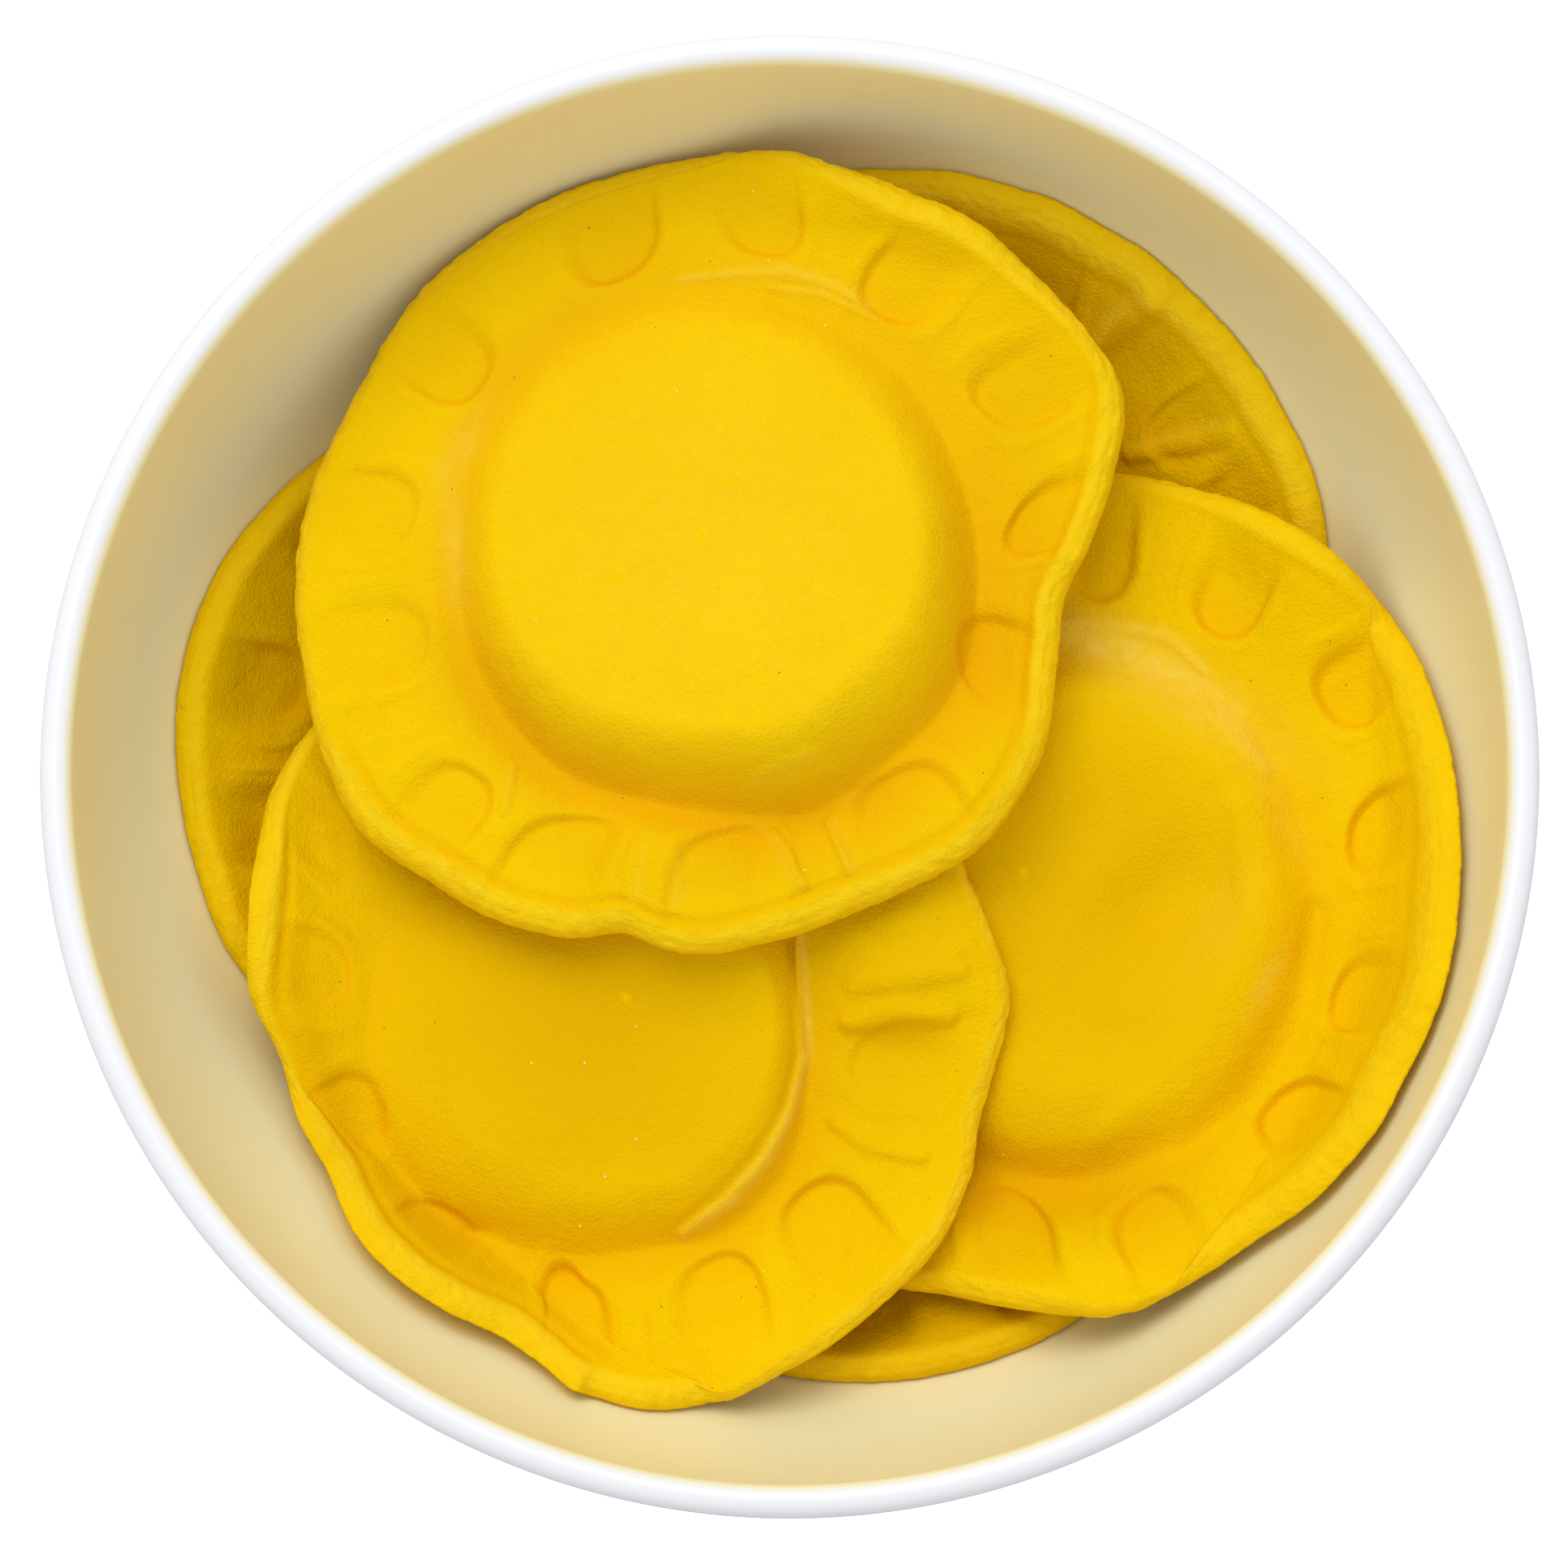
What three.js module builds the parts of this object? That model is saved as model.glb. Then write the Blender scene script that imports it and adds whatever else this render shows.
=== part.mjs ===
// Six large round ravioli heaped in a white bowl.
// Millimetres, +Z up. The origin is the middle of the bowl's foot, on the table.
// Each raviolo is a sheet of dough that lies on the bowl's wall and on the ravioli
// below it, with a filled dome in its middle and thumb marks pressed all round its brim.
import * as THREE from "three";

// ---- driving sizes of the bowl ----
const RIM_HEIGHT = 60;
const RIM_RADIUS = 78;
const LIP_THICKNESS = 3.4;
const WALL_ROUNDNESS = 2.6;
const FLOOR_HEIGHT = 7;
const FLOOR_THICKNESS = 3.6;
const FOOT_OUTER_RADIUS = 37;
const FOOT_INNER_RADIUS = 31;
const FOOT_DEPTH = 2.6;
const FOOT_CHAMFER = 1;
const LEVEL_SHARE = 0.3;
const OUTSIDE_STEPS = 5;
const INSIDE_STEPS = 8;
const LIP_STEPS = 4;
const BOWL_SEGMENTS = 44;

// ---- driving sizes of the dough ----
const DOUGH_THICKNESS = 2.8;
const CLEARANCE = 0.9;
const WALL_CLEARANCE = 1.1;
const CUT_SLANT = 0.6;
const SHOULDER_WIDTH = 9;
const SHOULDER_HOLD = 0.8;
const MARK_DEPTH = 0.9;
const MARK_HALF_WIDTH = 6;
const MARK_REACH = 13;
const MARK_STEEPNESS = 2;
const DRAPE_SLOPE = 0.5;
const DRAPE_BLEND = 2.5;
const WALL_BLEND = 2;
const SLOPE_STEP = 0.4;
const MARKS_ROUND_BRIM = 13;
const SECTORS_PER_MARK = 4;
const MIDDLE_RING = 0.6;
const SHOULDER_RINGS = [0, 0.35, 0.65, 1];
const UNDER_RINGS = [0.26, 0.45, 0.62, 0.82, 1];
const BRIM_RINGS = [0.35, 0.72, 1];

// ---- the ravioli, from the lowest to the topmost ----
// rest: height of the underside above the table at the centre, where nothing lifts it.
// tilt: rise of the underside for each millimetre along X and along Y.
// radii: reach of the brim every 30 degrees, anticlockwise from +X.
// dome: offset from the centre, radius and height of the filling.
// marks: directions of the thumb marks in degrees.
const RAVIOLI = [
  {
    name: "ravioli_front",
    centre: [8, -19.5],
    rest: 9,
    tilt: [0, 0],
    radii: Array(12).fill(43.2),
    dome: { offset: [0, 0], radius: 26, height: 3.5 },
    marks: evenMarks(-96),
  },
  {
    name: "ravioli_left",
    centre: [-24, 6.5],
    rest: 13,
    tilt: [-0.05, 0],
    radii: Array(12).fill(43),
    dome: { offset: [0, 0], radius: 26, height: 3.5 },
    marks: evenMarks(165),
  },
  {
    name: "ravioli_back",
    centre: [13, 22],
    rest: 16,
    tilt: [0, 0.05],
    radii: [46.5, 46.5, 46, 47.5, 45, 42, 40, 39, 39, 40, 42, 45],
    dome: { offset: [0, 0], radius: 26, height: 4 },
    marks: evenMarks(11),
  },
  {
    name: "ravioli_right",
    centre: [25, -7.5],
    rest: 22,
    tilt: [0.12, 0],
    radii: [46.5, 48, 48, 46, 43, 40, 39, 41, 46, 48, 47.5, 47],
    dome: { offset: [5.9, -3.4], radius: 28, height: 5 },
    marks: [74, 51, 30, 5, -21, -44, -69, -93, -122, -151, 180, 150, 112],
  },
  {
    name: "ravioli_front_left",
    centre: [-17, -21],
    rest: 24,
    tilt: [0.08, 0.08],
    radii: [40.5, 38.5, 40, 42, 44, 45.5, 41, 38.5, 39.5, 44, 43.5, 42],
    dome: { offset: [-4.7, -3.5], radius: 24.5, height: 4 },
    marks: [177, 201, 232, 261, 286, 310, 345, 15, 45, 75, 102, 128, 155],
  },
  {
    name: "ravioli_top",
    centre: [-9.5, 26.5],
    rest: 36,
    tilt: [0.02, 0],
    radii: [43, 48.5, 46, 43, 42.5, 42, 44, 47, 46, 44.5, 44, 42.5],
    dome: { offset: [0.5, 0.3], radius: 28.5, height: 7 },
    marks: [5, 27, 51, 78, 108, 142, 174, 198, 225, 249, 276, 308, 337],
  },
];

function evenMarks(first) {
  const step = 360 / MARKS_ROUND_BRIM;
  return Array.from({ length: MARKS_ROUND_BRIM }, (_, index) => first + index * step);
}

// ---- small mathematics ----
const radians = (degrees) => (degrees * Math.PI) / 180;
const clamp01 = (value) => Math.min(1, Math.max(0, value));
const smoothMax = (a, b, blend) => 0.5 * (a + b + Math.hypot(a - b, blend));

function smoothStep(value) {
  const t = clamp01(value);
  return t * t * (3 - 2 * t);
}

function turnBetween(angle, other) {
  const turn = (angle - other) % (2 * Math.PI);
  if (turn > Math.PI) return turn - 2 * Math.PI;
  if (turn < -Math.PI) return turn + 2 * Math.PI;
  return turn;
}

// A smooth closed curve through values that stand at even steps round the circle.
function roundTheCircle(values, angle) {
  const count = values.length;
  const place = (((angle / (2 * Math.PI)) % 1) + 1) % 1 * count;
  const index = Math.floor(place);
  const t = place - index;
  const [a, b, c, d] = [-1, 0, 1, 2].map((step) => values[(index + step + count) % count]);
  return b + 0.5 * t * (c - a + t * (2 * a - 5 * b + 4 * c - d + t * (3 * (b - c) + d - a)));
}

// ---- the bowl ----
// Height of a wall that leaves `bottom` level and stands upright at the given radius.
function wallHeight(distance, radius, bottom) {
  const share = Math.min(distance / radius, 1);
  const drop = (1 - share ** WALL_ROUNDNESS) ** (1 / WALL_ROUNDNESS);
  return RIM_HEIGHT - LIP_THICKNESS / 2 - (RIM_HEIGHT - LIP_THICKNESS / 2 - bottom) * drop;
}

function wallProfile(radius, bottom, fromShare, count) {
  const steps = Array.from({ length: count + 1 }, (_, index) => index / count);
  return steps.map((step) => {
    const turn = (step * Math.PI) / 2;
    const share = fromShare + (1 - fromShare) * Math.sin(turn);
    return new THREE.Vector2(radius * share, wallHeight(radius * share, radius, bottom));
  });
}

function bowlGeometry() {
  const innerRadius = RIM_RADIUS - LIP_THICKNESS;
  const underFloor = FLOOR_HEIGHT - FLOOR_THICKNESS;
  const footShare = FOOT_OUTER_RADIUS / RIM_RADIUS;
  const outside = wallProfile(RIM_RADIUS, underFloor, footShare, OUTSIDE_STEPS);
  const inside = wallProfile(innerRadius, FLOOR_HEIGHT, LEVEL_SHARE, INSIDE_STEPS).reverse();
  const lip = Array.from({ length: LIP_STEPS - 1 }, (_, step) => {
    const turn = ((step + 1) * Math.PI) / LIP_STEPS;
    return new THREE.Vector2(
      RIM_RADIUS - (LIP_THICKNESS / 2) * (1 - Math.cos(turn)),
      RIM_HEIGHT - (LIP_THICKNESS / 2) * (1 - Math.sin(turn)),
    );
  });
  const foot = [
    new THREE.Vector2(0, FOOT_DEPTH),
    new THREE.Vector2(FOOT_INNER_RADIUS, FOOT_DEPTH),
    new THREE.Vector2(FOOT_INNER_RADIUS + FOOT_CHAMFER, 0),
    new THREE.Vector2(FOOT_OUTER_RADIUS - FOOT_CHAMFER, 0),
  ];
  const floor = new THREE.Vector2(0, FLOOR_HEIGHT);
  return new THREE.LatheGeometry([...foot, ...outside, ...lip, ...inside, floor], BOWL_SEGMENTS);
}

// ---- how the ravioli lie on each other ----
function polarAt(piece, x, y) {
  const dx = x - piece.centre[0];
  const dy = y - piece.centre[1];
  const angle = Math.atan2(dy, dx);
  return { angle, distance: Math.hypot(dx, dy), reach: roundTheCircle(piece.radii, angle) };
}

function domeDistance(piece, x, y) {
  const [offsetX, offsetY] = piece.dome.offset;
  return Math.hypot(x - piece.centre[0] - offsetX, y - piece.centre[1] - offsetY);
}

// Height of the underside if only the raviolo's own stiffness held it.
function freeHeight(piece, x, y) {
  const [centreX, centreY] = piece.centre;
  return piece.rest + piece.tilt[0] * (x - centreX) + piece.tilt[1] * (y - centreY);
}

// What a raviolo adds above its own sheet for the one on top, which bridges its hollows.
function heldUp(piece, x, y) {
  const { distance, reach } = polarAt(piece, x, y);
  const holdRadius = piece.dome.radius - SHOULDER_WIDTH * SHOULDER_HOLD;
  const beyondShoulder = domeDistance(piece, x, y) - holdRadius;
  const overDome = Math.max(0, piece.dome.height - DRAPE_SLOPE * Math.max(0, beyondShoulder));
  return overDome - DRAPE_SLOPE * Math.max(0, distance - reach);
}

// Height of one underside at one place, over what the lower ravioli hold up there.
function drapedHeight(piece, x, y, supports) {
  const innerRadius = RIM_RADIUS - LIP_THICKNESS;
  const wall = wallHeight(Math.hypot(x, y), innerRadius, FLOOR_HEIGHT) + WALL_CLEARANCE;
  const onWall = smoothMax(freeHeight(piece, x, y), wall, WALL_BLEND);
  return supports.reduce((height, support) => smoothMax(height, support, DRAPE_BLEND), onWall);
}

// The undersides of the first ravioli of the heap at one place: point and normal of each.
function undersides(x, y, count) {
  const places = [[x, y], [x + SLOPE_STEP, y], [x, y + SLOPE_STEP]];
  const supports = places.map(() => []);
  return RAVIOLI.slice(0, count).map((piece) => {
    const heights = places.map(([px, py], index) => drapedHeight(piece, px, py, supports[index]));
    const slopes = [heights[1] - heights[0], heights[2] - heights[0]].map((rise) => rise / SLOPE_STEP);
    const normal = new THREE.Vector3(-slopes[0], -slopes[1], 1);
    const upright = DOUGH_THICKNESS * normal.length() + CLEARANCE;
    places.forEach(([px, py], index) => {
      supports[index].push(heights[index] + upright + heldUp(piece, px, py));
    });
    return { point: new THREE.Vector3(x, y, heights[0]), normal: normal.normalize() };
  });
}

const undersideAt = (index, x, y) => undersides(x, y, index + 1)[index];

// ---- the shape of one raviolo ----
function domeHeight(piece, x, y) {
  const beyondPlateau = domeDistance(piece, x, y) - piece.dome.radius + SHOULDER_WIDTH;
  return piece.dome.height * (1 - smoothStep(beyondPlateau / SHOULDER_WIDTH));
}

// How deep the thumbs have pressed the brim: a scoop, open towards the edge.
function markDepth(piece, angle, distance, reach) {
  const fromEdge = reach - distance;
  return piece.marks.reduce((deepest, direction) => {
    const aside = (turnBetween(angle, radians(direction)) * distance) / MARK_HALF_WIDTH;
    const inward = Math.max(0, fromEdge - MARK_REACH / 2) / (MARK_REACH / 2);
    const inside = 1 - Math.hypot(aside, inward);
    return Math.max(deepest, MARK_DEPTH * smoothStep(inside * MARK_STEEPNESS));
  }, 0);
}

// The directions of the mesh: at each thumb mark, at each ridge between two, and between.
function sectorAngles(piece) {
  const marks = piece.marks.map((mark) => (mark + 720) % 360).sort((a, b) => a - b);
  return marks.flatMap((mark, index) => {
    const next = index + 1 < marks.length ? marks[index + 1] : marks[0] + 360;
    const steps = Array.from({ length: SECTORS_PER_MARK }, (_, step) => step / SECTORS_PER_MARK);
    return steps.map((step) => radians(mark + step * (next - mark)));
  });
}

// The top surface: rings over the dome, then rings out over the brim to the slanted cut.
function topPoint(index, x, y, angle, distance, reach) {
  const piece = RAVIOLI[index];
  const { point, normal } = undersideAt(index, x, y);
  point.addScaledVector(normal, DOUGH_THICKNESS - markDepth(piece, angle, distance, reach));
  point.z += domeHeight(piece, x, y);
  return point;
}

function topRings(index, angles) {
  const piece = RAVIOLI[index];
  const [offsetX, offsetY] = piece.dome.offset;
  const foot = piece.dome.radius;
  const plateau = foot - SHOULDER_WIDTH;
  const shoulderRadii = SHOULDER_RINGS.map((share) => plateau + share * SHOULDER_WIDTH);
  const domeRadii = [plateau * MIDDLE_RING, ...shoulderRadii];
  const onDome = (radius, angle) => [
    piece.centre[0] + offsetX + radius * Math.cos(angle),
    piece.centre[1] + offsetY + radius * Math.sin(angle),
  ];
  const onEdge = (angle) => {
    const reach = roundTheCircle(piece.radii, angle) - CUT_SLANT;
    return [piece.centre[0] + reach * Math.cos(angle), piece.centre[1] + reach * Math.sin(angle)];
  };
  const raise = ([x, y]) => {
    const { angle, distance, reach } = polarAt(piece, x, y);
    return topPoint(index, x, y, angle, distance, reach);
  };
  const dome = domeRadii.map((radius) => angles.map((angle) => raise(onDome(radius, angle))));
  const brim = BRIM_RINGS.map((share) => angles.map((angle) => {
    const [footX, footY] = onDome(foot, angle);
    const [edgeX, edgeY] = onEdge(angle);
    return raise([footX + share * (edgeX - footX), footY + share * (edgeY - footY)]);
  }));
  return [...dome, ...brim];
}

function underRings(index, angles) {
  const piece = RAVIOLI[index];
  return UNDER_RINGS.toReversed().map((share) => angles.map((angle) => {
    const reach = share * roundTheCircle(piece.radii, angle);
    const x = piece.centre[0] + reach * Math.cos(angle);
    const y = piece.centre[1] + reach * Math.sin(angle);
    return undersideAt(index, x, y).point;
  }));
}

// Joins rings of points, from the middle of the top over the edge to the middle below.
function closedSurface(topMiddle, rings, underMiddle) {
  const count = rings[0].length;
  const points = [topMiddle, ...rings.flat(), underMiddle];
  const last = points.length - 1;
  const at = (ring, sector) => 1 + ring * count + (sector % count);
  const faces = [];
  for (let sector = 0; sector < count; sector += 1) {
    faces.push([0, at(0, sector), at(0, sector + 1)]);
    faces.push([last, at(rings.length - 1, sector + 1), at(rings.length - 1, sector)]);
    for (let ring = 0; ring + 1 < rings.length; ring += 1) {
      faces.push([at(ring, sector), at(ring + 1, sector), at(ring + 1, sector + 1)]);
      faces.push([at(ring, sector), at(ring + 1, sector + 1), at(ring, sector + 1)]);
    }
  }
  const geometry = new THREE.BufferGeometry().setFromPoints(points);
  geometry.setIndex(faces.flat());
  return geometry;
}

function ravioliGeometry(index) {
  const piece = RAVIOLI[index];
  const angles = sectorAngles(piece);
  const [x, y] = piece.centre;
  const domeX = x + piece.dome.offset[0];
  const domeY = y + piece.dome.offset[1];
  const topMiddle = topPoint(index, domeX, domeY, 0, 0, piece.radii[0]);
  const rings = [...topRings(index, angles), ...underRings(index, angles)];
  return closedSurface(topMiddle, rings, undersideAt(index, x, y).point);
}

// ---- materials ----
const porcelain = new THREE.MeshStandardMaterial({ color: 0xf4f1ea, roughness: 0.25, metalness: 0 });
const pasta = new THREE.MeshStandardMaterial({ color: 0xf2c414, roughness: 0.7, metalness: 0 });

function namedMesh(name, geometry, material) {
  const mesh = new THREE.Mesh(geometry, material);
  mesh.name = name;
  return mesh;
}

const dish = new THREE.Group();
const bowl = namedMesh("bowl", bowlGeometry(), porcelain);
bowl.rotation.x = Math.PI / 2;
dish.add(bowl);
RAVIOLI.forEach((piece, index) => {
  dish.add(namedMesh(piece.name, ravioliGeometry(index), pasta));
});

export default dish;
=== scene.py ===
"""Six large round ravioli heaped in a white bowl.

Every raviolo is a sheet of dough that lies on the bowl's wall and on the ravioli below it.
Its underside is worked out from the lowest raviolo upwards. Its top lies one thickness of
dough above that, with the filled dome, the thumb marks and the folds added.
Sizes are in millimetres; MM turns them into Blender's metres. +Z is up, -Y is the front.
"""

import bpy
import numpy as np
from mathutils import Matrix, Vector


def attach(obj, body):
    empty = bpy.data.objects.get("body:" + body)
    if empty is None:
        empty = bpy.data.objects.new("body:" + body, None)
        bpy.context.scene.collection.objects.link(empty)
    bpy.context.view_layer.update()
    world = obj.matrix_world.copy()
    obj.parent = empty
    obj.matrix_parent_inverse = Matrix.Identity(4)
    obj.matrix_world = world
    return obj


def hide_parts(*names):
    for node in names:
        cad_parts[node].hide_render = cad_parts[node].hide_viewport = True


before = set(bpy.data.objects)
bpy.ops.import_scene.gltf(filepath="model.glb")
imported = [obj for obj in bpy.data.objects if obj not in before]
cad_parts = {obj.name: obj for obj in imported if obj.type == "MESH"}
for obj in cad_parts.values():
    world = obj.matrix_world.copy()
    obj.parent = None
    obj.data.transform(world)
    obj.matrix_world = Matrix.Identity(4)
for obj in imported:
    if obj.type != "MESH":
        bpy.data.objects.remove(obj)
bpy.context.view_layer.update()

MM = 0.001
FULL_TURN = 2 * np.pi
NO_ZERO = 1e-6
NOISE_TABLE = 64

# ---- driving sizes of the bowl ----
RIM_HEIGHT = 60.0
RIM_RADIUS = 78.0
LIP_THICKNESS = 3.4
WALL_ROUNDNESS = 2.6
FLOOR_HEIGHT = 7.0
FLOOR_THICKNESS = 3.6
FOOT_OUTER_RADIUS = 37.0
FOOT_INNER_RADIUS = 31.0
FOOT_DEPTH = 2.6
FOOT_ROUNDING = 1.0
GLAZE_EDGE_RADIUS = 75.15
GLAZE_EDGE_WIDTH = 0.9
# where the outside's painted shade begins below the lip, and over how much it fades in
LIP_SHADE_HEIGHT = 59.0
LIP_SHADE_WIDTH = 3.0
BOWL_SECTORS = 288
BASE_RINGS = 6
FOOT_RINGS = 5
OUTSIDE_RINGS = 44
LIP_RINGS = 17
INSIDE_RINGS = 60
INNERMOST_BASE_RING = 1.0
INNERMOST_FLOOR_TURN = 0.02

# ---- driving sizes of the dough ----
DOUGH_THICKNESS = 3.1
CLEARANCE = 0.6
WALL_CLEARANCE = 0.4
WALL_BLEND = 2.6
EDGE_ROOM = 1.0
STEEPEST = 0.3
SLOPE_STEP = 0.4
SAG_ROUNDS = 60
SAG_SHARE = 0.02
SAG_BLUR = 2.0
BEND_BLUR = 2.4
DOME_CROWN = 0.6
FOOT_SHARPNESS = 1.3
FOOT_WAVER = 0.5
WAVERS_ROUND_FOOT = 18
FOLD_SHARPNESS = 3
DIP_INNER_WIDTH = 2.5
SWELLING_SIZE = 6.5
SWELLING_HEIGHT = 0.14
RIPPLE_SIZE = 1.9
RIPPLE_HEIGHT = 0.035
THINNEST_DOUGH = 0.6
THINNEST_BLEND = 0.3
MARK_TIP_LENGTH = 6.3
MARK_ROUNDNESS = 2.3
MARK_WALL_SHARE = 0.21
MARK_DEPTH = 1.3
MARK_EDGE_DEPTH = 0.1
MARK_FADE_START = 0.8
MARK_FADE_SHARE = 0.5
MARK_SKEW = 0.25
MARK_CREST = 0.3
SOFT_SIDE_SHARE = 1.6
SIDE_CREASE_LOSS = 0.3
SOFT_CREASE_LOSS = 0.6
CREST_PLACE = 0.15
CREST_WIDTH = 0.1
CURL_WIDTH = 15.0
CURL_POWER = 1.6
HEM_WIDTH = 1.5
EDGE_ROUNDING = 0.25
EDGE_ROUNDING_WIDTH = 0.6
GROOVE_DEPTH = 0.17
GROOVE_PLACE = 1.1
GROOVE_WIDTH = 0.6
CUT_SLANT = 0.55
CUT_WAVER = 0.09
CUT_BULGE_SHARE = 0.19
CUT_GRAIN = 0.12
CUT_FOOT_TONE = 0.3
CUT_BRINK_TONES = (0.3, 0.8)
GRAINS_ACROSS_CUT = 4.0
EDGE_WAVER = 0.1
WAVERS_ROUND_BRIM = 55
RAGS_ROUND_BRIM = 300
SEAM_PLACE = 0.42
SEAM_DEPTH = 0.09
SEAM_WIDTH = 0.08
CUT_RINGS = 13
UNDER_RINGS = 24
FIRST_TOP_SHARE = 0.02
MIDDLE_SHARE = 0.4
RINGS_FOR_EACH_IN_MIDDLE = 6
LAST_UNDER_SHARE = 0.03
MARKS_ROUND_BRIM = 13

# ---- seeds of the unevenness ----
CUT_SEED = 5
SWELLING_SEED = 11
RIPPLE_SEED = 31
MARK_SEED = 40
RAG_SEED = 71
CUT_GRAIN_SEED = 200
FOOT_SEED_FACTOR = 3

# ---- the grid on which the sheets settle ----
# GRID_MARGIN: places at the border that have too few neighbours for a smooth curve.
# BELL_REACH: how many of its own widths a bell curve is followed for.
GRID_STEP = 1.0
GRID_HALF = 86.0
GRID_MARGIN = 2
BELL_REACH = 3
GRID_LINE = np.arange(-GRID_HALF, GRID_HALF + GRID_STEP / 2, GRID_STEP)
GRID_X, GRID_Y = np.meshgrid(GRID_LINE, GRID_LINE, indexing="ij")
INNER_RADIUS = RIM_RADIUS - LIP_THICKNESS
SHEETS = []


def even_marks(first, reach=12.5, half_width=5.6, depth=1.0):
    """Finger marks at even steps round the brim."""
    step = 360 / MARKS_ROUND_BRIM
    directions = (first + index * step for index in range(MARKS_ROUND_BRIM))
    return tuple((direction, reach, half_width, depth) for direction in directions)


def even_dome(height):
    """A dome that is the same all round."""
    return dict(
        offset=(0, 0), height=height, lean=(0, 0), foot=(26,) * 8, flank=(7,) * 8,
        dip=(0.5,) * 8, dip_width=(4,) * 8, painted_shade_tint=(0.2,) * 8,
    )


# ---- colours ----
DOUGH_DEEP = (0.88, 0.535, 0.0)
DOUGH_LIGHT = (0.93, 0.615, 0.0)
# deeper, darker yellow: partly the dough's own colour, partly painted shade in troughs, beside
# raised edges and on the ravioli low in the heap
DOUGH_RICH_AND_PAINTED_SHADE = (0.77, 0.45, 0.0)
# deeper yellow where the fingers pushed, with painted shade in the marks' hollows and on their
# walls, at the dome's foot and in the edge groove
DOUGH_PRESSED_AND_PAINTED_SHADE = (0.82, 0.41, 0.0)
DOUGH_CUT = (0.93, 0.64, 0.014)
FLOURED = (0.91, 0.65, 0.07)
# how strongly painted shade goes into the marks' hollows and onto their walls
PRESSED_AND_HOLLOW_SHADE_TINT = 0.1
CREASE_PAINTED_SHADE = 0.5
# inside: partly the glaze's own pale yellow, partly painted yellow reflection of the ravioli
CREAM_AND_REFLECTION_DEEP = (0.87, 0.8, 0.48)
CREAM_AND_REFLECTION_LIGHT = (0.91, 0.84, 0.52)
WHITE_GLAZE = (0.865, 0.86, 0.87)
# bluish grey for the outside: painted shade of the white glaze
OUTSIDE_PAINTED_SHADE = (0.82, 0.85, 0.87)
FLOOR_GREY = (0.62, 0.62, 0.62)

# ---- finishes ----
# each mottling: how fine it is and how much detail it has.
CLOUDS = (70, 3)
GRAIN = (420, 4)
DUSTING = (600, 4)
POWDER = (1800, 3)
PORES = (2600, 3)
GLAZE_CLOUDS = (30, 2)
GLAZE_RIPPLES = (160, 1)
SPECKLE = (900, 2)
SPECKLE_LIFT = 1.06
NOISE_LOW = 0.3
NOISE_HIGH = 0.7
TONE_PARTS = ((CLOUDS, 0.5), (GRAIN, 0.3), (POWDER, 0.4))
CUT_COVER = (0.5, 0.9)
FLOUR_COVER = (0.35, 1)
DOUGH_ROUGHNESS = (0.58, 0.74)
DOUGH_GLOSS = 0.02
PORE_SHARE = 0.8
LIP_ROUGHNESS = 0.16
INSIDE_ROUGHNESS = 0.4
CRUMB_ROUGHNESS = 0.8
FLOOR_ROUGHNESS = 0.9
BUMP_HEIGHT = 0.2
DOUGH_BUMP = 0.5
GLAZE_BUMP = 0.06

# ---- floor, light and camera ----
# CAMERA_HALF_VIEW: half the width of what the camera sees at its aim.
FLOOR_RADIUS = 4000.0
FLOOR_DROP = 0.2
FLOOR_CORNERS = 96
ROOM_COLOUR = (0.93, 0.96, 1)
ROOM_STRENGTH = 0.79
WINDOW_PLACE = (-240, 560, 1120)
WINDOW_AIM = (0, 0, 30)
WINDOW_SIZE = 900
WINDOW_POWER = 7.0
WINDOW_COLOUR = (1, 0.985, 0.95)
CAMERA_AIM = (-0.59, -2.5, 60.0)
CAMERA_ELEVATION = 81.5
CAMERA_DISTANCE = 600
CAMERA_HALF_VIEW = 81.286

# ---- small grains that lie on the dough ----
# each: how many are strewn over every raviolo; placed: raviolo, x and y of single grains.
# GRAIN_SIDES: corners in each of a grain's two belts; with five the body is a regular one.
GRAINS = (
    dict(
        name="flour_crumbs", colour=(0.93, 0.8, 0.4), each=12, radii=(0.06, 0.14), seed=7,
        placed=((5, -2, 58.5), (3, 45.5, 31.5), (4, 7.5, -51), (4, 3.8, -52), (4, -6.7, -49.5)),
    ),
    dict(
        name="bran_specks", colour=(0.32, 0.17, 0.02), each=14, radii=(0.06, 0.12), seed=9,
        placed=((1, -56, 27.5), (3, 41, -51), (4, -7.5, -63), (5, 32, 17)),
    ),
)
GRAIN_SIDES = 5
GRAIN_FLATNESS = 0.6
GRAIN_SPREAD = (0.8, 1.25)
GRAIN_FROM_EDGE = 1.5

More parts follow.
